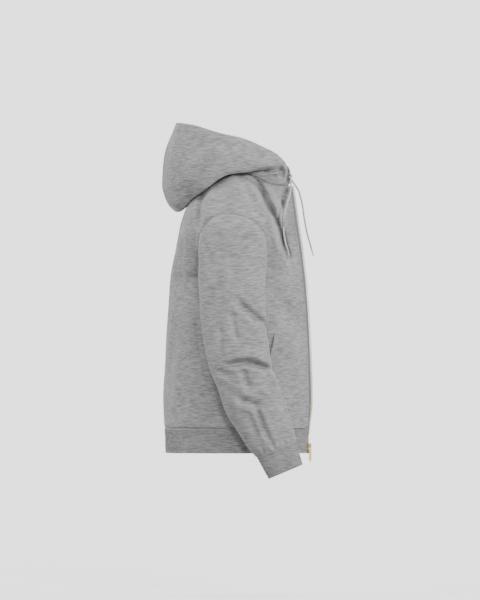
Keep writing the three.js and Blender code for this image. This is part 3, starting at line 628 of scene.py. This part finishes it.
# Back panel: one piece of the same fleece from side seam to side seam, that hangs clear of the wearer's
# back. A soft hollow runs down behind each armhole, and long shallow folds hang from the shoulders.
back_side_creases = [
    (12, 8, [(66, -66), (74, -92), (79, -124), (82, -156)]),
    (5, 15, [(86, -150), (80, -200), (80, -250), (88, -300)]),
    (6, 10, [(100, -330), (90, -390), (81, -474), (67, -543), (46, -600)]),
    (-2.5, 12, [(78, -520), (72, -580), (68, -610)]),
    (2, 10, [(112, -470), (120, -540), (118, -600)]),
]
back_creases = [
    (5, 22, [(150, -170), (120, -240), (105, -320)]),
    (3.5, 20, [(60, -200), (48, -300), (52, -400)]),
    (3, 18, [(-30, -240), (-44, -340), (-38, -440)]),
    (4.5, 22, [(-146, -180), (-122, -250), (-110, -330)]),
    (2.5, 20, [(120, -430), (96, -520), (100, -600)]),
    (2.5, 22, [(-112, -420), (-92, -500), (-98, -590)]),
    (2.5, 16, [(70, -110), (0, -128), (-66, -114)]),
]
half_us = crowded(0, 1, 76, 260)[4:]
half_us[0] = 0
half_back = panel_grid(False, half_us, front_vs)
half_back -= smooth_step(half_us, 0.5, 1)[:, None, None] * front_shift[None]
back_plain = np.concatenate([mirror(half_back)[::-1][:-1], half_back])
normal = outward(back_plain, True)
right_half = (back_plain[..., 0] < 0)[..., None]
creased_right = crease(back_plain, normal, back_side_creases, "side")
creased_left = crease(back_plain, normal, varied(back_side_creases, 9), "side")
back_grid = np.where(right_half, creased_right, creased_left)
back_grid = crease(back_grid, normal, back_creases, "back")
back_grid = held_at(back_plain, back_grid, [("high", 12), ("low", 10), ("first", 14), ("last", 14)])
inside = np.minimum.reduce(list(edge_gap(back_grid).values()))
back_grid = roughened(back_grid, normal, 120, 1.0, 11, inside, (2, 25))
back_grid = sink_seams(back_grid, normal, ["first", "last", "low", "high"], [("high", seam_stitch)])
piece = cloth_piece("back_panel", "back", "", back_grid, fleece_wall, heather_fleece)
normal = outward(back_grid, True)
rows = [
    row_beside(back_grid, normal, "high", seam_stitch),
    row_beside(back_grid, normal, "first", armhole_stitch, beside_armhole),
    row_beside(back_grid, normal, "last", armhole_stitch, beside_armhole),
]
stitching("back_stitching", rows, "left")

# Kangaroo pockets: a patch of the same fleece on each front, from the zip to a slanting mouth, caught in
# the waistband seam below. A double row of stitching holds the top, and the mouth is turned in.
pocket_top = -413
pocket_wall = 1.8
pocket_mouth = np.array(
    [(-413, 0.55), (-440, 0.59), (-468, 0.63), (-510, 0.69), (-560, 0.78), (-600, 0.8), (-643, 0.8)]
)
pocket_inner_u = 0.06
pocket_vs = np.interp(crowded(pocket_top, -643, 60, 230)[::-1], front_plain[0, :, 2], front_vs)
pocket_rows = panel_grid(True, [0.3], pocket_vs)[0][:, 2]
mouth_us = np.interp(-pocket_rows, -pocket_mouth[:, 0], pocket_mouth[:, 1])
pocket_shares = crowded(0, 1, 40, 150)
pocket_lines = [
    panel_grid(True, pocket_inner_u + (mouth_u - pocket_inner_u) * pocket_shares, [v])[:, 0]
    for mouth_u, v in zip(mouth_us, pocket_vs)
]
pocket_plain = np.stack(pocket_lines, axis=1)
pocket_normal = outward(pocket_plain, False)
pocket_gap = edge_gap(pocket_plain)
pocket_lift = 3.0 * smooth_step(pocket_gap["first"], 2, 60) * smooth_step(pocket_gap["high"], 2, 50)
pocket_lift *= smooth_step(pocket_gap["low"], 0, 25)
pocket_lift += 2.2 + 3.5 * hump(pocket_gap["last"], 9) * smooth_step(pocket_gap["high"], 0, 20)
pocket_lift -= 1.2 * (hump(pocket_gap["first"], 2.2) + hump(pocket_gap["high"], 2.2))
pocket_lift -= 0.8 * hump(pocket_gap["high"] - 8, 1.8) + 0.7 * hump(pocket_gap["last"] - 20, 2)
pocket_grid = pocket_plain + pocket_normal * pocket_lift[..., None]
for side in ("left", "right"):
    piece = cloth_piece(
        "pocket_patch", "pocket", side, pocket_grid, pocket_wall, heather_fleece
    )
    normal = outward(pocket_grid, False)
    insets = (("high", 2.6), ("high", 8), ("last", 3), ("last", 20), ("first", 2.6))
    rows = [row_beside(pocket_grid, normal, place, inset) for place, inset in insets]
    stitching("pocket_stitching_" + side, rows, side)

# Waistband: a doubled tube of two-by-two rib knit, 60 mm deep, that pulls the panels in a little. Its
# ribs stand 4 mm apart and run up and down.
rib_knit = fleece_material("two_by_two_rib_knit", "#6c6c6d", "#9d9d9c", 1.0)
hem_draw = 2.5
hem_deep = 60
rib_pitch = 4.2
front_low = panel_grid(True, np.linspace(0, 1, 120), [0.0])[:, 0]
back_low = panel_grid(False, np.linspace(0, 1, 120), [0.0])[::-1, 0]
half_line = np.concatenate([front_low, back_low[1:]])
ribs = int(lengths_along(half_line)[-1] / rib_pitch)
steps_a_rib = 6
even = np.linspace(0, 1, ribs * steps_a_rib + 1)
half_line = read_line(even, spread(half_line), half_line)
hem_line = np.concatenate([half_line, mirror(half_line)[::-1][1:]])
flat_out = unit(hem_line * [1, 1, 0])
tangent = unit(np.gradient(hem_line, axis=0))
hem_out = unit(np.cross(tangent, [0, 0, 1]))
hem_out *= np.sign((hem_out * flat_out).sum(axis=1, keepdims=True))
hem_downs = [0, 0.8, 1.8, 3.2, 5, 6.5, 8, 10, 14, 20, 27, 34, 41, 47, 50, 52, 53.4, 55, 57, 58.6, 59.6]
hem_stitch_rows = (5, 16)
rib_phase = np.linspace(0, 1, len(hem_line)) * (len(hem_line) - 1) / steps_a_rib
rib_wave = np.cos(2 * math.pi * rib_phase)
hem_rows = []
for down in hem_downs:
    draw = hem_draw * smooth_step(down, 0, 20)
    edge_round = 1.9 * hump(down, 2.2) + 1.6 * hump(hem_deep - down, 1.2)
    held_flat = hump(down - 53.4, 1.4) + hump(down - 6.5, 1.4)
    rib_height = 0.54 * smooth_step(down, 0.5, 6) * (1 - 0.5 * held_flat)
    wander = 0.35 * np.sin(rib_phase * 0.21 + down * 0.05) + 0.3 * np.sin(rib_phase * 0.083 + 1.3)
    rise = rib_height * rib_wave + wander - edge_round - 0.9 * held_flat
    hem_rows.append(hem_line - flat_out * draw + hem_out * rise[:, None] - [0, 0, down])
hem_grid = np.stack(hem_rows, axis=1)
rib_shell = 2.6
piece = cloth_piece("waistband_rib", "hem_band", "", hem_grid, rib_shell, rib_knit)
normal = outward(hem_grid, True)
stitching("waistband_stitching", [(hem_grid[:, k], normal[:, k]) for k in hem_stitch_rows], "left")

# Sleeves: one panel each, set into a dropped armhole and bent a little at the elbow. A deep crease runs
# across the bend, softer ones hang above it, and the cloth gathers where the cuff pulls it in.
sleeve_rings = [
    # middle, half width across, half width from back to front, turn out, turn forward
    ((236, 1, -232), 80, 81, 65, 0),
    ((248, 1, -275), 64, 80, 50, 0),
    ((257, 2, -325), 54, 79, 30, 0),
    ((262, -1, -380), 50, 77.5, 10, 2),
    ((265, -6, -432), 49, 76, 0, 6),
    ((266, -16, -480), 48, 74.5, 0, 13),
    ((266, -29, -524), 47, 70, 0, 20),
    ((265.5, -43.5, -563), 45, 70.5, 0, 23),
    ((265, -59, -601), 41, 69, 0, 23.5),
    ((263, -84, -652), 35, 61, 0, 23.5),
    ((261, -103.5, -692.5), 29, 52, 0, 22.6),
]
cuff_rings = [((260.5, -106, -698), 26, 49.5, 0, 22.6), ((259, -126, -746), 22.5, 44, 0, 23)]
elbow_creases = [
    # depth, half width, line of Y and Z
    (14, 6.5, [(16, -496), (6, -491), (-14, -486), (-34, -485), (-54, -489), (-72, -496), (-92, -503)]),
    (6, 9, [(-46, -487), (-62, -491), (-76, -497), (-88, -501)]),
    (11, 8, [(-8, -334), (-22, -350), (-44, -369), (-60, -384), (-80, -397)]),
    (5, 6, [(3, -360), (-1, -394), (-8, -434)]),
    (4.5, 7, [(28, -400), (30, -440), (27, -470)]),
    (6, 8, [(36, -502), (26, -509), (8, -516)]),
    (7, 6.5, [(-20, -498), (-28, -520), (-36, -548)]),
    (7, 8, [(-4, -562), (-22, -575), (-44, -582), (-74, -589)]),
    (9, 6, [(-50, -586), (-62, -612), (-74, -642), (-94, -684)]),
    (3.5, 9, [(-36, -606), (-48, -636), (-58, -664)]),
    (2.2, 10, [(38, -260), (30, -300), (34, -345)]),
    (1.8, 12, [(-48, -240), (-58, -290), (-62, -330)]),
    (-4, 11, [(0, -462), (-36, -460), (-70, -470)]),
    (-4, 10, [(-50, -518), (-66, -536), (-76, -566)]),
]
cuff_gathers = [
    # share across the side, length, depth
    (0.08, 20, 1.8), (0.2, 34, 2.6), (0.33, 24, 2.0), (0.47, 38, 3.4), (0.6, 26, 2.6), (0.74, 34, 2.6),
    (0.88, 24, 1.8),
]
inner_creases = [
    # distance down the arm, depth, half width, slant
    (120, 3, 12, 60), (262, 5.5, 10, -70), (300, 3, 9, 40), (400, 2.5, 12, -50),
]
sleeve_sides = 140
sleeve_long = 560
turns = np.arange(sleeve_sides) / sleeve_sides
front_turns = turns[turns < 0.5]
back_turns = turns[turns >= 0.5]
armhole_front = [
    panel_grid(True, [1.0], [1 - (1 - underarm_at) * 2 * f])[0, 0] for f in front_turns
]
armhole_back = [
    panel_grid(False, [1.0], [underarm_at + (1 - underarm_at) * (2 * f - 1)])[0, 0] for f in back_turns
]
armhole = np.array(armhole_front + armhole_back)


def ring_points(ring, turns):
    middle, across, deep, out_turn, fore_turn = ring
    out, fore = math.radians(out_turn), math.radians(fore_turn)
    outward_axis = np.array([math.cos(out), 0, math.sin(out)])
    forward_axis = np.array([0, -math.cos(fore), math.sin(fore)])
    angle = turns[:, None] * 2 * math.pi
    return np.array(middle) + outward_axis * across * np.cos(angle) + forward_axis * deep * np.sin(angle)


sleeve_lines = np.array([armhole] + [ring_points(ring, turns) for ring in sleeve_rings])
middles = np.array([armhole.mean(axis=0)] + [ring[0] for ring in sleeve_rings])
sleeve_places = spread(middles)
sleeve_alongs = crowded(0, 1, 184, sleeve_long)
sleeve_plain = np.stack([line_through(sleeve_lines, sleeve_places, s) for s in sleeve_alongs], axis=1)


def sleeve_shape(seed, creases):
    normal = outward(sleeve_plain, False, closed=True)
    creased = crease(sleeve_plain, normal, creases, "side")
    grid = held_at(sleeve_plain, creased, [("low", 14), ("high", 8)])
    # Creases on the inside of the arm, at the same heights but shorter
    across_inner = hump(turns[:, None] - 0.5, 0.14)
    down = lengths_along(middles)[-1] * sleeve_alongs[None, :]
    for place, depth, width, slant in inner_creases:
        gap = down - place - slant * (turns[:, None] - 0.5)
        grid = grid - normal * (depth * hump(gap, width) * across_inner)[..., None]
    # The cloth bunches a little before the cuff
    gathers = np.zeros(grid.shape[:2])
    for share, long, depth in cuff_gathers:
        start = np.array([-55.2 - 96 * share, -712.8 + 40.8 * share])
        gap, place = distance_along(grid[..., 1:], [start, start + long * np.array([0.39, 0.92])])
        gathers += depth * hump(gap, 4.5) * (1 - smooth_step(place, 0.3, 1.0))
    grid = grid - normal * gathers[..., None]
    ends = np.minimum(sleeve_alongs, 1 - sleeve_alongs)[None, :] * sleeve_long
    grid = roughened(grid, normal, 75, 1.1, seed, ends, (2, 30))
    gaps = edge_gap(grid)
    sink = seam_sink * np.exp(-gaps["low"] / seam_width) + 2.8 * np.exp(-gaps["high"] / seam_width)
    return grid - normal * sink[..., None]


sleeves = {"left": sleeve_shape(21, varied(elbow_creases, 15)), "right": sleeve_shape(22, elbow_creases)}
for side, grid in sleeves.items():
    piece = cloth_piece(
        "sleeve_panel", "sleeve", side, grid, fleece_wall, heather_fleece, closed=True
    )

# Cuffs: doubled tubes of the same rib knit, 60 mm deep, that close in towards the wrist
cuff_ribs = 62
cuff_stitch_rows = (5, 15)
cuff_turns = np.arange(cuff_ribs * steps_a_rib) / (cuff_ribs * steps_a_rib)
sleeve_end = np.concatenate([sleeve_plain[:, -1], sleeve_plain[:1, -1]])
last_ring = read_line(cuff_turns, np.append(turns, 1), sleeve_end)
cuff_lines = np.array([last_ring] + [ring_points(ring, cuff_turns) for ring in cuff_rings])
cuff_alongs = np.array(
    [0, 0.015, 0.03, 0.055, 0.08, 0.105, 0.13, 0.17, 0.25, 0.35, 0.45, 0.55, 0.65, 0.75, 0.82, 0.87, 0.9,
     0.93, 0.96, 0.98, 0.995]
)
cuff_plain = np.stack([line_through(cuff_lines, [0, 0.1, 1], s) for s in cuff_alongs], axis=1)
cuff_normal = outward(cuff_plain, False, closed=True)
cuff_held = hump(cuff_alongs - 0.87, 0.02) + hump(cuff_alongs - 0.105, 0.02)
cuff_height = 0.54 * smooth_step(cuff_alongs, 0.01, 0.1) * (1 - 0.5 * cuff_held)
cuff_wave = np.cos(2 * math.pi * cuff_turns * cuff_ribs)[:, None] * cuff_height[None, :]
cuff_sink = 1.8 * hump(cuff_alongs, 0.035) + 1.6 * hump(1 - cuff_alongs, 0.02) + 0.8 * cuff_held
cuff_grid = cuff_plain + cuff_normal * (cuff_wave - cuff_sink[None, :])[..., None]
for side in ("left", "right"):
    piece = cloth_piece("cuff_rib", "cuff", side, cuff_grid, rib_shell, rib_knit, closed=True)
    normal = outward(cuff_grid, False, closed=True)
    rows = []
    for k in cuff_stitch_rows:
        rows.append([np.concatenate([values[:, k], values[:1, k]]) for values in (cuff_grid, normal)])
    stitching("cuff_stitching_" + side, rows, side)

# Hood: two curved halves of the same fleece, sewn together from the forehead over the crown to the neck.
# It is down, so it rises from the neck seam, rolls over and hangs behind the shoulders like an open bag.
hood_wall = 2.6
hood_sections = [
    # at, roll, fold, heel, sag, belly, brow, rim
    (0, (41, -138, -47), (42, -137, -35), (42.5, -136.5, -31), (43, -136, -28), (44, -133.5, -20),
     (47, -126, -7), (53, -115, 6)),
    (0.13, (62, -119, -42), (67, -116, -22), (68.5, -116, -18), (69, -115, -14), (70, -112, -6),
     (69, -108, 6), (65, -102, 17)),
    (0.27, (81, -90, -36), (92, -90, -21), (95.5, -90, -18), (97, -89, -14), (98, -86, -6),
     (96, -82, 12), (87, -76, 31)),
    (0.45, (93, -47, -16), (114, -47, -27), (120.5, -46, -24), (124, -44, -19), (125, -41, -8),
     (122, -34, 20), (108, -24, 53)),
    (0.62, (84, 22, -2), (136, 20, -41), (143, 23.5, -36.5), (147, 26, -28), (148, 28, -14),
     (142, 34, 27), (120, 40, 67)),
    (0.8, (56, 64, -3), (116, 84, -85), (125, 92.5, -79), (129, 97, -66), (132, 101, -42),
     (120, 104, 20), (88, 91, 83)),
    (0.91, (28, 78, -6), (70, 118, -119), (78, 136, -109), (81, 143.5, -90), (84, 148, -56),
     (72, 143, 20), (47, 123, 89)),
    (1, (0, 82, -7), (0, 132, -123), (0, 150.5, -114), (0, 163, -92), (0, 171, -58),
     (0, 163, 18), (0, 138, 90)),
]
hood_places = [0, 2 / 13, 5.6 / 13, 6.35 / 13, 7.1 / 13, 8.1 / 13, 10.5 / 13, 1]
hood_ats = [section[0] for section in hood_sections]
hood_columns = crowded(0, 1, 92, 420)
hood_alongs = crowded(0, 1, 120, 350)
hood_lines = []
for place in hood_columns:
    line = [line_through(neck_seam, neck_places, place)]
    for k in range(1, 8):
        column = np.array([section[k] for section in hood_sections], float)
        line.append(line_through(column, hood_ats, place))
    hood_lines.append([line_through(np.array(line), hood_places, s) for s in hood_alongs])
hood_plain = np.array(hood_lines)
hood_creases = [
    # depth, half width, line of Y and Z
    (2.5, 14, [(20, 52), (60, 30), (104, -6)]),
    (2.5, 16, [(-40, 6), (0, -8), (40, -30)]),
    (10, 4.5, [(-70, -27), (-82, -26), (-96, -24.5), (-108, -22), (-120, -17)]),
    (10, 6.5, [(-110, -20), (-117, -31), (-121, -46)]),
    (-4, 8, [(-66, -9), (-84, -8), (-102, -5), (-116, 0)]),
    (8, 4, [(-131, -18), (-132, -38), (-130, -62)]),
    (2, 10, [(-20, 20), (-60, 12), (-96, 4)]),
]


def hood_shape(seed, creases):
    normal = outward(hood_plain, False)
    creased = crease(hood_plain, normal, creases, "side")
    grid = held_at(hood_plain, creased, [("low", 10), ("first", 5)])
    gaps = edge_gap(grid)
    inside = np.minimum(gaps["first"], gaps["low"])
    grid = roughened(grid, normal, 110, 1.3, seed, inside, (4, 40))
    sink = 2.4 * hump(gaps["last"], 2.6) + 2.6 * hump(gaps["low"], 2.6)
    sink += hump(gaps["high"] - rim_stitch, 2.2) + 1.2 * hump(gaps["high"], 1.4)
    grid = grid - normal * sink[..., None]
    grid[-1, :, 0] = 0.05
    return grid


rim_stitch = 24
eyelet_radius = 4.2
eyelet_thread = 1.1
eyelet_points = 37
eyelet_sides = 10
hoods = {"left": hood_shape(31, varied(hood_creases, 17)), "right": hood_shape(33, hood_creases)}
for side, grid in hoods.items():
    piece = cloth_piece("hood_half", "hood", side, grid, hood_wall, heather_fleece)
    normal = outward(grid, False)
    insets = (("high", rim_stitch), ("last", seam_stitch), ("low", seam_stitch))
    rows = [row_beside(grid, normal, place, inset) for place, inset in insets]
    stitching("hood_stitching_" + side, rows, side)
    # The eyelet is a ring of close stitches round the hole that the cord comes out of
    cord_exit = np.array(cord_routes["left"][0], float)
    nearest = np.unravel_index(np.argmin(np.linalg.norm(grid - cord_exit, axis=-1)), grid.shape[:2])
    facing = normal[nearest]
    level = unit(np.cross(facing, [0, 0, 1]))
    upright = np.cross(level, facing)
    turn = np.linspace(0, 2 * math.pi, eyelet_points)[:, None]
    ring = grid[nearest] + facing * 0.4 + eyelet_radius * (np.cos(turn) * level + np.sin(turn) * upright)
    ring_radii = eyelet_thread * (1 + 0.12 * np.cos(np.arange(eyelet_points) * math.pi))
    shown = mirror(ring) if side == "right" else ring
    eyelet = tube("eyelet_stitching_" + side, shown, ring_radii, eyelet_sides, sewing_thread)
    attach(eyelet, "garment")

# Zip: a woven tape behind each front edge with a row of brass teeth along it. It is open, so the slider
# stands at the foot of the right edge above the retainer box, and the pin hangs on the left edge.
zip_tape_cloth = new_material("woven_polyester_zip_tape")
place = add_node(zip_tape_cloth, "TexCoord").outputs
# The tape's twill ribs stand 1 mm apart and give it a fine upright grain
tape_place = add_node(zip_tape_cloth, "Mapping", {"Vector": place["UV"], "Scale": (1000, 1000, 1)})
rib_size = {"Vector": tape_place.outputs[0], "Scale": 0.314, "Distortion": 0.6}
tape_rib = add_node(zip_tape_cloth, "TexWave", rib_size, {"bands_direction": "DIAGONAL"}).outputs["Fac"]
shades = {"Factor": tape_rib, 6: linear("#62686e"), 7: linear("#81878c")}
tape_colour = add_node(zip_tape_cloth, "Mix", shades, {"data_type": "RGBA"}).outputs[2]
tape_bump = add_node(zip_tape_cloth, "Bump", {"Height": tape_rib, "Strength": 0.4, "Distance": 0.0004})
finish_material(
    zip_tape_cloth, {"Base Color": tape_colour, "Normal": tape_bump.outputs[0], "Roughness": 0.8}
)

# Brass: cast and tumbled, so its edges are bright and its flats carry a faint dull bloom
brass = new_material("tumbled_brass")
place = add_node(brass, "TexCoord").outputs["Object"]
bloom = add_node(brass, "TexNoise", {"Vector": place, "Scale": 900, "Detail": 3}).outputs["Fac"]
shades = {"Factor": bloom, 6: linear("#b59c62"), 7: linear("#e2d09c")}
brass_colour = add_node(brass, "Mix", shades, {"data_type": "RGBA"}).outputs[2]
dullness = add_node(brass, "MapRange", {"Value": bloom, "To Min": 0.34, "To Max": 0.52}).outputs["Result"]
finish_material(brass, {"Base Color": brass_colour, "Roughness": dullness, "Metallic": 1})

# Teeth: the same brass, left unpolished, which has gone a dull brown
dull_brass = mottled_material("unpolished_brass_teeth", 260, 2, "#8c6f49", "#b8986c", 0.5, 0.5)

tape_under = 5
tape_beyond = 7
tooth_beyond = 2.2
tape_thick = 1
tape_clear = 0.7
rib_wall = 3
edge_vs = np.linspace(0, 0.995, 300)
edge_points, beside_points = panel_grid(True, [0.0, 0.06], edge_vs)
band_points = 30
hem_down = np.linspace(hem_deep - 0.6, 0.5, band_points)[:, None]
first_edge = edge_points[0]
low_edge = first_edge - unit(first_edge * [1, 1, 0]) * hem_draw * smooth_step(hem_down, 0, 20)
low_edge = low_edge - [0, 0, 1] * hem_down
edge_line = np.concatenate([low_edge, edge_points])
across_dir = unit(edge_points - beside_points)
across_dir = np.concatenate([np.repeat(across_dir[:1] * [1, 1, 0], band_points, axis=0), across_dir])
along_dir = unit(np.gradient(edge_line, axis=0))


def square_to_edge(v):
    """The nearest direction that stands square to the zip's edge."""
    return unit(v - along_dir * (v * along_dir).sum(axis=1, keepdims=True))


# Above the slider the free edge of the tape turns forward
turned_forward = 1.1 * smooth_step(edge_line[:, 2:], -640, -570)
across_dir = square_to_edge(unit(square_to_edge(across_dir) + turned_forward * [0, -1, 0]))
out_dir = unit(np.cross(along_dir, across_dir))
out_dir *= np.sign((out_dir * [0.5, -1, 0]).sum(axis=1, keepdims=True))
panel_wall = rib_wall + (fleece_wall - rib_wall) * smooth_step(edge_vs, 0, 0.02)
wall_under = np.concatenate([np.full(band_points, rib_wall), panel_wall])


def zip_point(across, inward):
    return edge_line + across_dir * across - out_dir * (wall_under + tape_clear + inward)[:, None]


tape_strip = np.stack([zip_point(a, 0) for a in np.linspace(tape_beyond, -tape_under, 9)], axis=0)
tooth_pitch = 2.5
tooth_line = zip_point(tape_beyond + tooth_beyond, tape_thick / 2)
tooth_count = int(lengths_along(tooth_line)[-1] / tooth_pitch)
tooth_at = (np.arange(tooth_count) + 0.5) / tooth_count
tooth_frames = [
    read_line(tooth_at, spread(tooth_line), source) for source in (tooth_line, across_dir, out_dir, along_dir)
]
# One tooth: X across towards its head, Y outward, Z along the tape, in millimetres
tooth_shape = np.array(
    [
        (x, y * s, z * s)
        for x, s in ((-3.0, 0.9), (-2.4, 1.0), (1.8, 1.0), (3.0, 0.62))
        for y, z in ((-1.25, -0.55), (1.25, -0.55), (1.25, 0.55), (-1.25, 0.55))
    ]
)
tooth_faces = [(3, 2, 1, 0), (12, 13, 14, 15)]
for ring in range(3):
    for c in range(4):
        d = (c + 1) % 4
        tooth_faces.append((ring * 4 + c, ring * 4 + d, ring * 4 + 4 + d, ring * 4 + 4 + c))
for side in ("left", "right"):
    tape = cloth_piece("zip_tape_weave", "zip_tape", side, tape_strip, tape_thick, zip_tape_cloth)
    points, faces = [], []
    for n in range(6 if side == "right" else 2, tooth_count):
        middle, across, out, along = (frames[n] for frames in tooth_frames)
        start = len(points) * len(tooth_shape)
        x, y, z = tooth_shape[:, :1], tooth_shape[:, 1:2], tooth_shape[:, 2:]
        points.append(middle + x * across + y * out + z * along)
        faces += [tuple(start + c for c in face) for face in tooth_faces]
    points = np.concatenate(points)
    shown = mirror(points) if side == "right" else points
    teeth = make_piece("zip_teeth_" + side, shown, faces, dull_brass, smooth=False)
    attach(teeth, "garment")

for node in ("zip_slider", "zip_retainer_box", "zip_pin", "zip_pull_tab"):
    cast = bpy.data.objects.new(node + "_cast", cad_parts[node].data.copy())
    bpy.context.scene.collection.objects.link(cast)
    weld = cast.modifiers.new("weld", "WELD")
    weld.merge_threshold = 0.00001
    rounded = cast.modifiers.new("rounded_edges", "BEVEL")
    rounded.width = 0.0004
    rounded.segments = 3
    rounded.limit_method = "ANGLE"
    rounded.angle_limit = math.radians(40)
    cast.data.materials.clear()
    cast.data.materials.append(brass)
    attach(cast, "pull_tab" if node == "zip_pull_tab" else "garment")
    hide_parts(node)

# Seam allowances: where two pieces meet, their edges are overlocked together and turned in. They make a
# soft dark ridge behind every seam, which also closes it. Its dark thread colour is partly painted shade.
neck_front = even_line(neck_seam, 120)
neck_loop = np.concatenate([mirror(neck_front), neck_front[::-1][1:]])
neck_inward = ([0, -40, 0] - neck_loop) * [1, 1, 0] + [0, 0, -25]
seam_allowance("neck", neck_loop, 0.92 * unit(neck_inward))
seam_allowance("waist", hem_line[::4], -flat_out[::4])
hood_out = unit(outward(hood_plain, False)[-1, 2:-2] * [0, 1, 1])
seam_allowance("hood", hood_plain[-1, 2:-2] * [0, 1, 1], -hood_out)
sleeve_out = outward(sleeve_plain, False, closed=True)[:, 0]
front_out = outward(front_plain, False)[-1]
back_out = outward(back_plain, True)[-1]
armhole_vs = np.abs(1 - 2 * turns) * (1 - underarm_at) + underarm_at
armhole_front_out = read_line(armhole_vs, front_vs, front_out)
armhole_back_out = read_line(armhole_vs, front_vs, back_out)
body_out = np.where(turns[:, None] < 0.5, armhole_front_out, armhole_back_out)
for side in ("left", "right"):
    shoulder = even_line(shoulder_seam, 60)
    side_low = front_plain[-1, front_vs < underarm_at + 0.005][::2]
    armhole_inward = -(sleeve_out + body_out) / 2
    armhole_loop = np.concatenate([armhole, armhole[:2]])
    cuff_loop = np.concatenate([last_ring[::4], last_ring[:5:4]])
    for name, line, inward in (
        ("shoulder", shoulder, np.array([-0.55, 0, -0.83]) + 0 * shoulder),
        ("side", side_low, np.array([-1.0, 0, 0]) + 0 * side_low),
        ("armhole", armhole_loop, np.concatenate([armhole_inward, armhole_inward[:2]])),
        ("cuff", cuff_loop, unit(last_ring.mean(axis=0) - cuff_loop)),
    ):
        if side == "right":
            line, inward = mirror(line), mirror(inward)
        seam_allowance(name + "_" + side, line, inward)

# Studio: a wide pale floor under the hanging garment and a pale surround of the same shade. A narrow sun
# stands beside the camera, softer ones on both sides of it, and others above, behind and at the far side.
suns = [
    # name, direction that it comes from, strength, spread in degrees
    ("camera_side_sun", (-0.95, -0.12, 0.22), 1.4, 8),
    ("front_side_sun", (-0.75, -0.55, 0.4), 1.1, 20),
    ("back_side_sun", (-0.75, 0.5, 0.4), 0.85, 20),
    ("top_sun", (-0.3, 0.0, 1.0), 1.1, 40),
    ("front_sun", (-0.35, -0.85, 0.3), 1.0, 25),
    ("front_rim_sun", (0.4, -0.85, 0.3), 1.5, 15),
    ("back_rim_sun", (0.3, 0.9, 0.35), 2.0, 15),
    ("far_side_sun", (0.9, 0.1, 0.4), 1.2, 30),
]
glow = 0.26
floor_shade = 0.8
floor_light = math.pi * glow
for name, comes_from, strength, spread_degrees in suns:
    lamp = bpy.data.lights.new(name, "SUN")
    lamp.energy = strength
    lamp.angle = math.radians(spread_degrees)
    light = bpy.data.objects.new(name, lamp)
    x, y, z = comes_from
    light.rotation_euler = (math.atan2(math.hypot(x, y), z), 0, math.atan2(y, x) + math.pi / 2)
    bpy.context.scene.collection.objects.link(light)
    floor_light += strength * z / math.sqrt(x * x + y * y + z * z)
# The surround that the eye sees and the floor are lit up to the same shade, so that no horizon shows
seen = 2.4
floor_glow = seen - floor_shade * floor_light / math.pi
floor_paint = new_material("matt_white_floor")
paint = {"Base Color": (floor_shade, floor_shade, floor_shade, 1), "Roughness": 1, "Specular IOR Level": 0}
finish_material(floor_paint, {**paint, "Emission Color": (1, 1, 1, 1), "Emission Strength": floor_glow})
floor_half = 3e6
floor_height = -1050
floor_corners = np.array([(-1, -1, 1), (1, -1, 1), (1, 1, 1), (-1, 1, 1)])
floor_corners = floor_corners * [floor_half, floor_half, floor_height]
floor = make_piece("floor", floor_corners, [(0, 1, 2, 3)], floor_paint, smooth=False)
floor.visible_diffuse = False
surround = bpy.data.worlds.new("pale_surround")
surround.use_nodes = True
surround.node_tree.nodes.clear()
far_glow = add_node(surround, "Background", {"Color": (1, 1, 1, 1), "Strength": glow}).outputs[0]
far_seen = add_node(surround, "Background", {"Color": (1, 1, 1, 1), "Strength": seen}).outputs[0]
sight = add_node(surround, "LightPath").outputs["Is Camera Ray"]
either = add_node(surround, "MixShader", {0: sight, 1: far_glow, 2: far_seen})
add_node(surround, "OutputWorld", {"Surface": either.outputs[0]})
bpy.context.scene.world = surround
